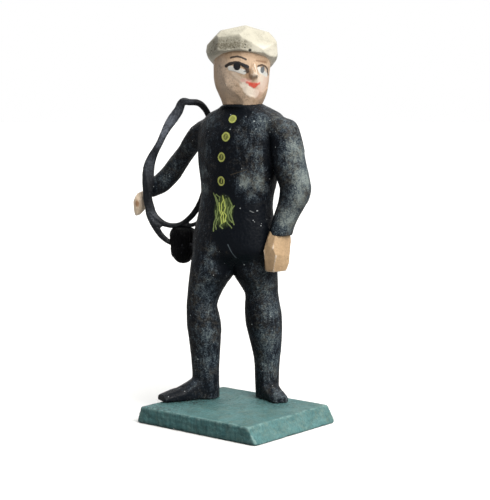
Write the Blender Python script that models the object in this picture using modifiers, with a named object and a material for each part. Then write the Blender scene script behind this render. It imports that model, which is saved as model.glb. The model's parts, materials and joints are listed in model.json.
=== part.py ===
"""A carved and painted chimney sweep for a nativity scene: the figure, its
plinth, the coil of rope on its right arm and the brush hanging from the coil.

Sizes are in metres. The figure faces -Y, its left hand is at +X, and the
origin is the middle of the plinth's underside.
"""

import math

import bmesh
import bpy
import numpy as np
from mathutils import Vector

# Driving sizes
FIGURE_HEIGHT = 0.100  # soles to the crown of the cap
PLINTH_LENGTH = 0.0369  # top face, along X
PLINTH_DEPTH = 0.0339  # top face, along Y
PLINTH_THICKNESS = 0.0046
PLINTH_SLOPE_NEAR = 0.0028  # how far the +X end leans out
PLINTH_SLOPE_FAR = 0.0015  # how far the -X end leans out
PLINTH_WORN_EDGE = 0.00035
ROPE_THICKNESS = 0.0013
BRUSH_HEIGHT = 0.0096
BRUSH_DIAMETER = 0.0076
TOUCH_GAP = 0.0003  # left between pieces that rest on each other

# The free forms are shares of the figure's height: one share is a hundredth
SHARE = FIGURE_HEIGHT / 100
GROUND = PLINTH_THICKNESS + TOUCH_GAP

# Surface making
VOXEL = 0.00042
ROPE_VOXEL = 0.0003
FIGURE_TRIANGLES = 7600
ROPE_TRIANGLES = 1300

# Directions in plan, in degrees to the figure's left of straight ahead
BODY_TURN = 6
HEAD_TURN = 64
COIL_TURN = 40.2

# Each station is x, y, z, half width, half depth, turn. Lengths are in shares,
# and z is measured from the soles.
TORSO = [
    (-4.6, 5.3, 36.3, 3.6, 2.2, 14),
    (-4.6, 5.3, 37.6, 7.6, 4.9, 14),
    (-4.5, 5.3, 39.2, 10.4, 6.7, 14),
    (-4.5, 5.3, 41.0, 11.7, 7.7, 14),
    (-4.4, 5.4, 45.0, 11.5, 7.6, 12),
    (-4.3, 5.5, 49.0, 10.8, 7.1, 8),
    (-4.1, 5.8, 54.0, 10.3, 6.8, 6),
    (-3.7, 6.1, 58.0, 10.7, 7.1, 6),
    (-3.5, 6.2, 64.0, 11.8, 7.5, 6),
    (-3.4, 6.3, 70.0, 12.1, 7.5, 6),
    (-3.0, 6.6, 73.0, 12.1, 7.1, 6),
    (-2.6, 6.8, 75.2, 11.8, 6.4, 6),
    (-2.2, 7.2, 77.0, 10.6, 5.7, 6),
    (-2.3, 7.1, 78.2, 7.4, 5.4, 6),
    (-2.5, 6.75, 78.9, 5.9, 6.0, 40),
    (-2.5, 6.6, 79.6, 5.4, 5.5, 50),
]
HEAD = [
    (-2.6, 6.3, 78.6, 5.0, 5.2, HEAD_TURN),
    (-2.5, 6.5, 80.4, 5.5, 5.9, HEAD_TURN),
    (-2.55, 6.4, 82.2, 6.2, 6.7, HEAD_TURN),
    (-2.75, 6.2, 84.8, 6.9, 7.4, HEAD_TURN),
    (-2.7, 6.2, 88.2, 7.2, 7.7, HEAD_TURN),
    (-2.6, 6.3, 91.5, 7.3, 7.5, HEAD_TURN),
    (-2.6, 6.3, 95.0, 6.6, 6.8, HEAD_TURN),
]
RIGHT_LEG = [
    (-8.8, 3.0, 43.0, 5.0, 5.4, 0),
    (-9.6, 2.6, 38.0, 5.7, 5.9, 0),
    (-10.0, 2.4, 34.0, 5.7, 5.9, 0),
    (-11.2, 1.9, 30.9, 4.8, 5.2, 0),
    (-12.0, 1.5, 28.2, 4.2, 4.6, 0),
    (-12.5, 1.2, 25.6, 3.9, 4.2, 0),
    (-12.4, 1.4, 23.2, 4.2, 4.3, 0),
    (-12.3, 1.8, 20.3, 4.6, 4.5, 0),
    (-12.3, 2.1, 16.4, 4.3, 4.2, 0),
    (-12.4, 2.4, 11.7, 3.9, 3.8, 0),
    (-12.4, 2.6, 7.0, 3.55, 3.55, 0),
    (-12.4, 2.7, 3.5, 3.5, 3.5, 0),
    (-12.2, 2.9, -0.5, 3.3, 3.3, 0),
]
LEFT_LEG = [
    (0.1, 6.9, 43.0, 5.1, 5.6, 0),
    (0.2, 8.2, 38.0, 5.7, 6.0, 0),
    (0.0, 8.9, 34.0, 5.6, 5.9, 0),
    (0.3, 9.7, 31.6, 5.0, 5.3, 0),
    (0.6, 10.6, 28.8, 4.2, 4.6, 0),
    (0.6, 10.9, 26.5, 4.5, 4.5, 0),
    (0.5, 11.4, 23.3, 4.95, 4.7, 0),
    (0.5, 11.9, 19.7, 4.85, 4.6, 0),
    (0.5, 12.6, 15.6, 4.25, 4.15, 0),
    (0.5, 13.1, 11.7, 3.65, 3.6, 0),
    (0.4, 13.3, 8.5, 3.25, 3.3, 0),
    (0.3, 13.4, 4.5, 3.2, 3.2, 0),
    (0.3, 13.4, -0.5, 3.1, 3.1, 0),
]
LEFT_ARM = [
    (6.5, 6.9, 76.6, 1.6, 1.8, 0),
    (8.7, 7.2, 75.7, 3.2, 3.0, 0),
    (10.2, 7.4, 74.0, 3.9, 3.7, 0),
    (11.0, 7.4, 71.7, 4.1, 4.0, 0),
    (11.5, 7.7, 67.7, 4.2, 4.3, 0),
    (11.8, 8.0, 64.5, 4.3, 4.4, 0),
    (12.5, 8.6, 61.0, 4.3, 4.4, 0),
    (13.1, 9.1, 58.0, 4.0, 4.1, 0),
    (13.0, 9.0, 55.4, 3.9, 4.0, 0),
    (12.2, 8.4, 52.8, 3.55, 3.7, 0),
    (11.2, 7.6, 50.0, 3.25, 3.4, 0),
    (10.5, 7.0, 47.5, 3.0, 3.2, 0),
    (10.2, 6.7, 45.4, 3.05, 3.2, 0),
]
LEFT_HAND = [
    (10.1, 6.7, 47.0, 2.0, 2.6, 0),
    (9.8, 6.5, 45.0, 2.2, 3.1, 0),
    (9.5, 6.3, 42.5, 2.3, 3.5, 0),
    (9.35, 6.2, 39.8, 2.3, 3.6, 0),
    (9.3, 6.1, 37.2, 2.1, 3.4, 0),
    (9.2, 6.0, 35.8, 1.7, 3.0, 0),
]
RIGHT_ARM = [
    (-10.5, 5.8, 72.6, 3.0, 3.0, 0),
    (-13.4, 5.2, 72.4, 3.2, 3.1, 0),
    (-16.4, 4.9, 71.0, 3.0, 3.0, 0),
    (-19.0, 5.1, 69.0, 2.7, 2.7, 0),
    (-22.0, 5.7, 66.2, 2.4, 2.4, 0),
    (-25.4, 6.0, 62.9, 2.55, 2.6, 0),
    (-28.0, 5.8, 59.9, 2.65, 2.7, 0),
    (-30.6, 5.2, 57.5, 2.65, 2.7, 0),
    (-33.0, 4.0, 55.9, 2.4, 2.4, 0),
    (-34.2, 3.3, 55.0, 2.0, 2.0, 0),
]
RIGHT_HAND = [
    (-35.2, 3.0, 55.0, 1.0, 1.2, COIL_TURN),
    (-35.8, 2.4, 54.1, 1.5, 2.0, COIL_TURN),
    (-36.1, 2.1, 52.6, 1.75, 2.4, COIL_TURN),
    (-36.2, 2.0, 50.8, 1.75, 2.3, COIL_TURN),
    (-36.5, 1.9, 49.4, 1.2, 1.6, COIL_TURN),
    (-36.7, 1.7, 48.2, 0.35, 0.6, COIL_TURN),
]
# Forward of the middle of the head, then height, half width and half depth
NOSE = [
    (6.6, 91.2, 0.5, 0.8),
    (7.0, 90.2, 0.6, 0.9),
    (7.4, 88.9, 0.85, 1.1),
    (7.8, 87.6, 1.15, 1.45),
    (7.9, 86.8, 1.3, 1.5),
    (7.3, 86.2, 1.0, 0.9),
]
# Knife strokes on the cheeks, jaw and chin. Each is a point ahead, aside and up,
# the way the stroke faces in the same order, and its reach.
FACE_STROKES = [
    (6.9, 0.0, 83.4, 0.97, 0.0, -0.25, 3.6),
    (5.6, 3.6, 84.2, 0.78, 0.60, -0.18, 4.4),
    (5.6, -3.6, 84.2, 0.78, -0.60, -0.18, 4.4),
    (4.3, 4.8, 81.8, 0.60, 0.62, -0.50, 4.2),
    (4.3, -4.8, 81.8, 0.60, -0.62, -0.50, 4.2),
    (1.0, 6.8, 85.5, 0.12, 0.98, -0.16, 5.0),
    (1.0, -6.8, 85.5, 0.12, -0.98, -0.16, 5.0),
    (5.1, -4.5, 83.4, 0.50, -0.70, -0.51, 5.0),
]
# Share of the foot's own length, then half width and height in shares
FOOT_PROFILE = [
    (0.0, 1.7, 3.0),
    (0.07, 2.6, 5.0),
    (0.2, 2.9, 6.6),
    (0.36, 2.9, 5.9),
    (0.52, 2.95, 4.3),
    (0.7, 3.0, 3.0),
    (0.87, 2.8, 2.25),
    (0.97, 2.6, 1.9),
    (1.0, 2.4, 1.75),
]
RIGHT_FOOT = ((-11.0, 5.4), (-18.1, -9.3), 0.97)  # heel, toe, width factor
LEFT_FOOT = ((-2.6, 14.3), (8.3, 10.0), 0.83)
# The cap before it is cut: radius and height over the middle of its rim
CAP_MIDDLE = (-2.6, 6.3, 89.6)
CAP_PROFILE = [
    (6.8, 0.0),
    (8.1, 0.8),
    (9.1, 1.9),
    (9.65, 3.3),
    (9.7, 5.2),
    (9.1, 7.4),
    (7.7, 9.2),
    (5.2, 10.5),
    (2.6, 11.0),
]
CAP_FRONT_RISE = 3.8  # the rim is pushed up over the forehead
CAP_RISE_TURN = 38  # where it is highest, in plan
# Each knife cut on the cap: direction in plan, upward tilt, distance from the middle
CAP_CUTS = [
    (-64, 10, 9.45),
    (-20, 4, 8.95),
    (20, 3, 8.3),
    (58, 2, 8.1),
    (96, 8, 8.75),
    (136, 4, 9.4),
    (178, 6, 9.1),
    (-142, 4, 9.2),
    (-102, 7, 9.4),
    (-46, 44, 10.3),
    (12, 50, 10.85),
    (70, 38, 9.25),
    (122, 42, 10.8),
    (178, 46, 10.7),
    (-120, 44, 10.9),
    (-40, 78, 10.0),
    (110, 74, 9.95),
    (20, 68, 10.2),
]

# The coil lies in an upright plane, turned and set off from the origin in plan.
# Stations are: along the plane, height, half width.
COIL_OFFSET = 20.6
COIL_LOOP = [
    (-14.15, 79.75, 1.15),
    (-15.3, 77.4, 1.38),
    (-16.9, 75.1, 1.48),
    (-18.3, 73.0, 1.28),
    (-19.5, 70.7, 1.06),
    (-20.5, 68.6, 0.98),
    (-21.7, 66.4, 1.1),
    (-22.9, 63.9, 1.43),
    (-23.55, 61.5, 1.68),
    (-23.75, 58.7, 1.73),
    (-23.9, 56.1, 1.48),
    (-23.9, 53.3, 1.33),
    (-23.3, 50.7, 1.38),
    (-22.2, 48.6, 1.05),
    (-20.4, 46.9, 0.9),
    (-18.9, 46.1, 0.8),
    (-17.1, 45.75, 0.75),
    (-15.2, 46.0, 0.75),
    (-13.3, 47.0, 0.8),
    (-11.5, 48.8, 0.85),
    (-10.1, 50.8, 0.85),
    (-9.2, 52.8, 0.82),
    (-8.5, 54.8, 0.8),
    (-7.4, 58.5, 0.8),
    (-6.5, 63.5, 0.8),
    (-6.0, 68.5, 0.8),
    (-6.2, 73.0, 0.85),
    (-7.2, 76.4, 0.9),
    (-8.5, 78.5, 0.92),
    (-10.0, 79.55, 0.95),
    (-12.2, 79.7, 0.95),
]
COIL_TAIL = [
    (-23.9, 52.5, 0.9),
    (-23.3, 49.2, 1.25),
    (-22.2, 46.6, 1.25),
    (-21.2, 44.4, 0.95),
    (-19.9, 42.7, 0.85),
    (-18.5, 41.5, 0.75),
]
COIL_SECOND = [
    (-15.6, 46.0, 0.6),
    (-12.8, 45.8, 0.6),
    (-10.6, 46.3, 0.6),
    (-8.8, 48.0, 0.6),
    (-8.0, 51.0, 0.6),
    (-8.2, 54.5, 0.6),
]
COIL_WEB = [
    (-22.9, 49.4, 1.3),
    (-21.8, 47.3, 1.5),
    (-20.9, 46.1, 1.2),
    (-20.4, 45.2, 0.5),
]
BRUSH_PLACE = -14.2  # along the coil's plane
BRUSH_TOP = 44.8
NOOSE_DROP = 0.42  # share of the brush's height where the rope goes round it
# Radius and height as shares of the brush's own diameter and height
BRUSH_PROFILE = [
    (0.0, 0.0),
    (0.28, -0.01),
    (0.42, -0.05),
    (0.485, -0.14),
    (0.49, -0.27),
    (0.44, -0.36),
    (0.4, -0.42),
    (0.45, -0.49),
    (0.49, -0.6),
    (0.46, -0.74),
    (0.37, -0.88),
    (0.22, -0.98),
    (0.0, -1.0),
]
BRUSH_SIDES = 16

NAVY = (0.030, 0.036, 0.044)
TEAL = (0.110, 0.235, 0.225)
BLACK = (0.014, 0.015, 0.018)


def clear_scene():
    for obj in list(bpy.data.objects):
        bpy.data.objects.remove(obj)


def painted(name, colour, roughness):
    """A plain painted finish."""
    material = bpy.data.materials.new(name)
    material.use_nodes = True
    shader = material.node_tree.nodes["Principled BSDF"]
    shader.inputs["Base Color"].default_value = (*colour, 1)
    shader.inputs["Roughness"].default_value = roughness
    shader.inputs["Metallic"].default_value = 0.0
    return material


def placed(x, y, z):
    """A station given in shares, as a point above the plinth."""
    return Vector((x * SHARE, y * SHARE, GROUND + z * SHARE))


def curve_through(points, steps, closed=False):
    """Points read from a smooth curve (Catmull-Rom) through the given ones."""
    rows = np.array(points, float)
    count = len(rows)
    out = []
    for i in range(count if closed else count - 1):
        if closed:
            p0, p1, p2, p3 = (rows[(i + k) % count] for k in (-1, 0, 1, 2))
        else:
            p0, p1, p2, p3 = (rows[min(max(i + k, 0), count - 1)] for k in (-1, 0, 1, 2))
        for step in range(steps):
            t = step / steps
            out.append(
                0.5
                * (
                    2 * p1
                    + (p2 - p0) * t
                    + (2 * p0 - 5 * p1 + 4 * p2 - p3) * t * t
                    + (3 * p1 - p0 - 3 * p2 + p3) * t**3
                )
            )
    if not closed:
        out.append(rows[-1])
    return out


def oval(across, deep, squareness, sides):
    """Points of a rounded outline: squareness 2 is an ellipse, more is boxier."""
    points = []
    for i in range(sides):
        angle = 2 * math.pi * i / sides
        c, s = math.cos(angle), math.sin(angle)
        points.append(
            (
                across * math.copysign(abs(c) ** (2 / squareness), c),
                deep * math.copysign(abs(s) ** (2 / squareness), s),
            )
        )
    return points


def loft(bm, rings):
    """Skins rings of points into one closed body."""
    rows = [[bm.verts.new(point) for point in ring] for ring in rings]
    for low, high in zip(rows, rows[1:]):
        for i in range(len(low)):
            j = (i + 1) % len(low)
            bm.faces.new((low[i], low[j], high[j], high[i]))
    bm.faces.new(rows[0][::-1])
    bm.faces.new(rows[-1])


def add_limb(bm, stations, squareness=2.2, sides=28, steps=4, level=True):
    """Lofts a limb. Its rings are level, or square to its own line."""
    rows = curve_through(stations, steps)
    middles = [placed(*row[:3]) for row in rows]
    rings = []
    for i, row in enumerate(rows):
        turn = math.radians(row[5])
        across = Vector((math.cos(turn), math.sin(turn), 0))
        deep = Vector((-math.sin(turn), math.cos(turn), 0))
        if not level:
            ahead = middles[min(i + 1, len(rows) - 1)] - middles[max(i - 1, 0)]
            across = Vector((0, 1, 0))
            deep = ahead.cross(across).normalized()
            across = deep.cross(ahead).normalized()
        rings.append(
            [
                middles[i] + across * a * SHARE + deep * d * SHARE
                for a, d in oval(row[3], row[4], squareness, sides)
            ]
        )
    loft(bm, rings)


def add_nose(bm):
    """A wedge of a nose, set in front of the middle of the head."""
    turn = math.radians(HEAD_TURN)
    ahead = Vector((math.sin(turn), -math.cos(turn), 0))
    aside = Vector((math.cos(turn), math.sin(turn), 0))
    middle_x, middle_y = HEAD[4][0], HEAD[4][1]
    rings = []
    for forward, height, half_width, half_depth in curve_through(NOSE, 3):
        middle = placed(middle_x, middle_y, height) + ahead * forward * SHARE
        rings.append(
            [
                middle + aside * a * SHARE - ahead * d * SHARE
                for a, d in oval(half_width, half_depth, 1.4, 12)
            ]
        )
    loft(bm, rings)


def add_foot(bm, heel, toe, width):
    """A shoe: rings stand square to the line from heel to toe."""
    start, end = placed(*heel, 0), placed(*toe, 0)
    ahead = (end - start).normalized()
    aside = ahead.cross(Vector((0, 0, 1)))
    rings = []
    for along, half_width, height in curve_through(FOOT_PROFILE, 3):
        middle = start.lerp(end, along)
        middle.z += (height / 2 - 0.6) * SHARE
        rings.append(
            [
                middle + aside * a * width * SHARE + Vector((0, 0, d * SHARE))
                for a, d in oval(half_width, height / 2 + 0.6, 2.5, 20)
            ]
        )
    loft(bm, rings)


def cut_flat(bm, point, facing):
    """One straight knife cut through a convex body."""
    geometry = bm.verts[:] + bm.edges[:] + bm.faces[:]
    cut = bmesh.ops.bisect_plane(
        bm, geom=geometry, plane_co=point, plane_no=facing, clear_outer=True
    )
    rim = [item for item in cut["geom_cut"] if isinstance(item, bmesh.types.BMEdge)]
    if rim:
        bmesh.ops.contextual_create(bm, geom=rim)


def add_cap(bm):
    """A flat-topped cap, its sides and top cut with a knife."""
    turn = math.radians(CAP_RISE_TURN)
    cap = bmesh.new()
    rings = []
    for radius, height in CAP_PROFILE:
        rise = CAP_FRONT_RISE * (1 - height / CAP_PROFILE[-1][1]) ** 2
        ring = []
        for a, d in oval(radius, radius, 2, 36):
            forward = (a * math.sin(turn) - d * math.cos(turn)) / radius
            x, y, z = CAP_MIDDLE
            ring.append(placed(x + a, y + d, z + height + rise * forward))
        rings.append(ring)
    loft(cap, rings)
    bmesh.ops.recalc_face_normals(cap, faces=cap.faces[:])
    for direction, tilt, distance in CAP_CUTS:
        plan, up = math.radians(direction), math.radians(tilt)
        facing = Vector(
            (math.sin(plan) * math.cos(up), -math.cos(plan) * math.cos(up), math.sin(up))
        )
        cut_flat(cap, placed(*CAP_MIDDLE) + facing * distance * SHARE, facing)
    join(bm, cap)


def join(bm, other):
    """Adds the other body to this one and frees it."""
    bmesh.ops.recalc_face_normals(other, faces=other.faces[:])
    spare = bpy.data.meshes.new("spare")
    other.to_mesh(spare)
    other.free()
    bm.from_mesh(spare)
    bpy.data.meshes.remove(spare)


def to_object(bm, name, collection, material):
    bmesh.ops.recalc_face_normals(bm, faces=bm.faces[:])
    mesh = bpy.data.meshes.new(name)
    bm.to_mesh(mesh)
    bm.free()
    mesh.materials.append(material)
    obj = bpy.data.objects.new(name, mesh)
    collection.objects.link(obj)
    return obj


def settle(obj):
    """Replaces an object's mesh by what its modifiers make of it."""
    bpy.context.view_layer.update()
    graph = bpy.context.evaluated_depsgraph_get()
    mesh = bpy.data.meshes.new_from_object(obj.evaluated_get(graph))
    obj.modifiers.clear()
    obj.data = mesh


def fuse(obj, voxel, smoothing):
    """Makes one skin of overlapping bodies and softens where they meet."""
    remesh = obj.modifiers.new("fuse", "REMESH")
    remesh.mode = "VOXEL"
    remesh.voxel_size = voxel
    soften = obj.modifiers.new("soften", "SMOOTH")
    soften.factor = 0.5
    soften.iterations = smoothing
    settle(obj)


def thin_out(obj, triangles):
    """Keeps about this many triangles, most of them where the form turns."""
    mesh = obj.data
    mesh.calc_loop_triangles()
    keep = obj.modifiers.new("thin out", "DECIMATE")
    keep.ratio = min(1.0, triangles / len(mesh.loop_triangles))
    keep.use_collapse_triangulate = True


def vertex_arrays(mesh):
    points = np.empty(len(mesh.vertices) * 3)
    normals = np.empty(len(mesh.vertices) * 3)
    mesh.vertices.foreach_get("co", points)
    mesh.vertices.foreach_get("normal", normals)
    return points.reshape(-1, 3), normals.reshape(-1, 3)


def knife_cut(points, normals, middle, facing, reach):
    """Shaves what stands proud of a plane, as one stroke of a knife does."""
    offset = points - np.array(middle)
    proud = offset @ np.array(facing)
    near = (
        (proud > 0)
        & (np.linalg.norm(offset, axis=1) < reach)
        & (normals @ np.array(facing) > 0.2)
    )
    points[near] -= proud[near, None] * np.array(facing)


def head_frame():
    """The head's own directions: ahead, aside (to its left) and up."""
    turn = math.radians(HEAD_TURN)
    ahead = Vector((math.sin(turn), -math.cos(turn), 0))
    aside = Vector((math.cos(turn), math.sin(turn), 0))
    return ahead, aside, Vector((0, 0, 1))


def carve_face(points, normals):
    """Flat cheeks, jaw and chin, each one knife stroke."""
    ahead, aside, up = head_frame()
    middle = placed(HEAD[4][0], HEAD[4][1], 0)
    for forward, sideways, height, f_ahead, f_aside, f_up, reach in FACE_STROKES:
        point = middle + ahead * forward * SHARE + aside * sideways * SHARE
        point.z = GROUND + height * SHARE
        facing = (ahead * f_ahead + aside * f_aside + up * f_up).normalized()
        knife_cut(points, normals, point, facing, reach * SHARE)


def flatten_soles(points):
    """The shoes stand flat on the plinth."""
    low = points[:, 2] < GROUND
    points[low, 2] = GROUND


def make_figure(collection):
    bm = bmesh.new()
    add_limb(bm, TORSO, squareness=2.35, sides=40)
    add_limb(bm, HEAD, squareness=2.2, sides=32)
    add_cap(bm)
    for leg in (RIGHT_LEG, LEFT_LEG):
        add_limb(bm, leg)
    add_limb(bm, LEFT_ARM)
    add_limb(bm, RIGHT_ARM, level=False)
    add_limb(bm, LEFT_HAND, squareness=3.6)
    add_limb(bm, RIGHT_HAND, squareness=2.4)
    for foot in (RIGHT_FOOT, LEFT_FOOT):
        add_foot(bm, *foot)
    figure = to_object(bm, "figure", collection, painted("painted wood, navy", NAVY, 0.55))
    fuse(figure, VOXEL, 5)

    points, normals = vertex_arrays(figure.data)
    carve_face(points, normals)
    flatten_soles(points)
    figure.data.vertices.foreach_set("co", points.ravel())
    figure.data.update()

    nose = bmesh.new()
    nose.from_mesh(figure.data)
    add_nose(nose)
    nose.to_mesh(figure.data)
    nose.free()
    fuse(figure, VOXEL, 1)
    points, _ = vertex_arrays(figure.data)
    flatten_soles(points)
    figure.data.vertices.foreach_set("co", points.ravel())
    thin_out(figure, FIGURE_TRIANGLES)
    return figure


def make_plinth(collection):
    """A sawn board with both ends sloped."""
    half_length, half_depth = PLINTH_LENGTH / 2, PLINTH_DEPTH / 2
    bm = bmesh.new()
    bmesh.ops.create_cube(bm, size=1)
    for vert in bm.verts:
        slope = PLINTH_SLOPE_NEAR if vert.co.x > 0 else PLINTH_SLOPE_FAR
        lean = slope if vert.co.z < 0 else 0
        vert.co.x = math.copysign(half_length + lean, vert.co.x)
        vert.co.y = math.copysign(half_depth, vert.co.y)
        vert.co.z = PLINTH_THICKNESS if vert.co.z > 0 else 0
    bmesh.ops.bevel(
        bm,
        geom=bm.edges[:],
        offset=PLINTH_WORN_EDGE,
        segments=2,
        profile=0.5,
        affect="EDGES",
    )
    return to_object(bm, "plinth", collection, painted("painted wood, teal", TEAL, 0.7))


def coil_directions():
    turn = math.radians(COIL_TURN)
    along = Vector((math.cos(turn), math.sin(turn), 0))
    away = Vector((-math.sin(turn), math.cos(turn), 0))
    return along, away


def coil_point(place, height):
    along, away = coil_directions()
    point = (along * place + away * COIL_OFFSET) * SHARE
    point.z = GROUND + height * SHARE
    return point


def add_strand(bm, stations, closed=False):
    """Skins a flat strand of the coil along its stations."""
    _, away = coil_directions()
    rows = curve_through(stations, 3, closed)
    count = len(rows)
    line = [coil_point(row[0], row[1]) for row in rows]
    rings = []
    for i, point in enumerate(line):
        if closed:
            ahead = line[(i + 1) % count] - line[i - 1]
        else:
            ahead = line[min(i + 1, count - 1)] - line[max(i - 1, 0)]
        aside = ahead.cross(away).normalized()
        rings.append(
            [
                point + aside * a + away * d
                for a, d in oval(rows[i][2] * SHARE, ROPE_THICKNESS / 2, 2.2, 12)
            ]
        )
    strand = bmesh.new()
    if closed:
        wrap(strand, rings)
    else:
        loft(strand, rings)
    join(bm, strand)


def wrap(bm, rings):
    """Skins rings of points into a closed loop."""
    rows = [[bm.verts.new(point) for point in ring] for ring in rings]
    for i in range(len(rows)):
        low, high = rows[i], rows[(i + 1) % len(rows)]
        for a in range(len(low)):
            b = (a + 1) % len(low)
            bm.faces.new((low[a], low[b], high[b], high[a]))


def brush_top():
    return coil_point(BRUSH_PLACE, BRUSH_TOP)


def add_noose(bm):
    """The turn of rope round the brush's waist."""
    waist = brush_top() - Vector((0, 0, BRUSH_HEIGHT * NOOSE_DROP))
    waist_radius = BRUSH_DIAMETER * BRUSH_PROFILE[6][0]
    radius = waist_radius + TOUCH_GAP + ROPE_THICKNESS / 2
    rings = []
    for i in range(32):
        angle = 2 * math.pi * i / 32
        out = Vector((math.cos(angle), math.sin(angle), 0))
        rings.append(
            [
                waist + out * (radius + a) + Vector((0, 0, d))
                for a, d in oval(ROPE_THICKNESS / 2, ROPE_THICKNESS / 2, 2, 12)
            ]
        )
    noose = bmesh.new()
    wrap(noose, rings)
    join(bm, noose)
    return radius / SHARE, (waist.z - GROUND) / SHARE


def make_rope_coil(collection):
    bm = bmesh.new()
    add_strand(bm, COIL_LOOP, closed=True)
    add_strand(bm, COIL_SECOND)
    add_strand(bm, COIL_WEB)
    radius, height = add_noose(bm)
    add_strand(bm, [*COIL_TAIL, (BRUSH_PLACE - radius, height, 0.65)])
    coil = to_object(bm, "rope_coil", collection, painted("painted rope, black", BLACK, 0.5))
    fuse(coil, ROPE_VOXEL, 2)
    thin_out(coil, ROPE_TRIANGLES)
    return coil


def make_brush(collection):
    """The sweep's brush: a turned shape, hanging under the coil."""
    mesh = bpy.data.meshes.new("sweeps_brush")
    bm = bmesh.new()
    verts = [
        bm.verts.new((radius * BRUSH_DIAMETER, 0, height * BRUSH_HEIGHT))
        for radius, height in BRUSH_PROFILE
    ]
    for a, b in zip(verts, verts[1:]):
        bm.edges.new((a, b))
    bm.to_mesh(mesh)
    bm.free()
    mesh.materials.append(painted("brush hair, black", BLACK, 0.6))
    brush = bpy.data.objects.new("sweeps_brush", mesh)
    brush.location = brush_top()
    collection.objects.link(brush)
    turned = brush.modifiers.new("turned", "SCREW")
    turned.axis = "Z"
    turned.steps = turned.render_steps = BRUSH_SIDES
    turned.use_merge_vertices = True
    turned.merge_threshold = 0.00005
    return brush


def main():
    clear_scene()
    collection = bpy.data.collections.new("Chimney sweep")
    bpy.context.scene.collection.children.link(collection)
    make_plinth(collection)
    make_figure(collection)
    make_rope_coil(collection)
    make_brush(collection)


main()
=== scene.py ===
# Carved and painted chimney sweep for a crib: the looks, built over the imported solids.
import json
import math

import bmesh
import bpy
import numpy as np
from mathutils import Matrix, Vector, noise

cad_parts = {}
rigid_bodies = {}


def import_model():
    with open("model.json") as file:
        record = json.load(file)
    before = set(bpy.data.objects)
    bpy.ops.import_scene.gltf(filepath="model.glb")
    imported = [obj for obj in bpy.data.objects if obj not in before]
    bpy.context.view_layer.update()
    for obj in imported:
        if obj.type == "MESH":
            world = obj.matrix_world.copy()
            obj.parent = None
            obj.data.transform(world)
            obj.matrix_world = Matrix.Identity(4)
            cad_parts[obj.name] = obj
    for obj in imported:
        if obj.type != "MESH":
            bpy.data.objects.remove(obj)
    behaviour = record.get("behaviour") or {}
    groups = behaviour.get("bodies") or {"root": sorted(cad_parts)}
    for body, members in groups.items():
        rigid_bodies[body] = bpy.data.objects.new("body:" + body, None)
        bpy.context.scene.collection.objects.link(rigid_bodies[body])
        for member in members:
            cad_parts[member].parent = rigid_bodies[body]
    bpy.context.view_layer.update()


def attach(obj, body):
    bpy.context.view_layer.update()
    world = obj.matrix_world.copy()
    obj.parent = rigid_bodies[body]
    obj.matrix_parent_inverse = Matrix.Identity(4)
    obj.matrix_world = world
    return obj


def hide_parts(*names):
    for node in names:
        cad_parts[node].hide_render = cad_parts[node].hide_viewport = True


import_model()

mm = 0.001
ground = 4.9  # the soles stand this high, in millimetres
figureNode, plinthNode, coilNode, brushNode = "figure", "plinth", "rope_coil", "sweeps_brush"


# mesh making

# a smooth curve through the given rows (Catmull-Rom)
def curveThrough(rows, steps, closed=False):
    rows = np.array(rows, float)
    count = len(rows)
    out = []
    for i in range(count if closed else count - 1):
        if closed:
            a, b, c, d = (rows[(i + k) % count] for k in (-1, 0, 1, 2))
        else:
            a, b, c, d = (rows[min(max(i + k, 0), count - 1)] for k in (-1, 0, 1, 2))
        for step in range(steps):
            t = step / steps
            out.append(0.5 * (2 * b + (c - a) * t + (2 * a - 5 * b + 4 * c - d) * t * t
                              + (3 * b - a - 3 * c + d) * t**3))
    if not closed:
        out.append(rows[-1])
    return out


# the rounded outline of a section: squareness 2 is an ellipse, more is boxier
def oval(across, deep, squareness, sides):
    points = []
    for i in range(sides):
        angle = 2 * math.pi * i / sides
        c, s = math.cos(angle), math.sin(angle)
        points.append((across * math.copysign(abs(c) ** (2 / squareness), c),
                       deep * math.copysign(abs(s) ** (2 / squareness), s)))
    return points


def placed(x, y, z):
    return Vector((x, y, ground + z)) * mm


# a direction from its angle in plan, taken from the front, and its height, in degrees
def directionOf(plan, height):
    a, e = math.radians(plan), math.radians(height)
    return Vector((math.sin(a) * math.cos(e), -math.cos(a) * math.cos(e), math.sin(e)))


# the rounded outline set round a middle, and shifted from it along its two directions
def ringOf(middle, across, deep, halves, squareness, sides, shift=0, away=0):
    return [middle + across * (shift + a) * mm + deep * (away + d) * mm
            for a, d in oval(*halves, squareness, sides)]


# skins rings of points, with flat ends or closed on itself
def skin(bm, rings, closed=False):
    rows = [[bm.verts.new(point) for point in ring] for ring in rings]
    pairs = list(zip(rows, rows[1:])) + ([(rows[-1], rows[0])] if closed else [])
    for low, high in pairs:
        for i in range(len(low)):
            j = (i + 1) % len(low)
            bm.faces.new((low[i], low[j], high[j], high[i]))
    if not closed:
        bm.faces.new(rows[0][::-1])
        bm.faces.new(rows[-1])


# a limb through stations of x, y, z, half width, half depth, turn
def addLimb(bm, stations, squareness=2.2, sides=28, steps=4, level=True):
    rows = curveThrough(stations, steps)
    middles = [placed(*row[:3]) for row in rows]
    rings = []
    for i, row in enumerate(rows):
        turn = math.radians(row[5])
        across = Vector((math.cos(turn), math.sin(turn), 0))
        deep = Vector((-math.sin(turn), math.cos(turn), 0))
        if not level:
            ahead = middles[min(i + 1, len(rows) - 1)] - middles[max(i - 1, 0)]
            deep = ahead.cross(Vector((0, 1, 0))).normalized()
            across = deep.cross(ahead).normalized()
        rings.append(ringOf(middles[i], across, deep, row[3:5], squareness, sides))
    skin(bm, rings)


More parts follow.
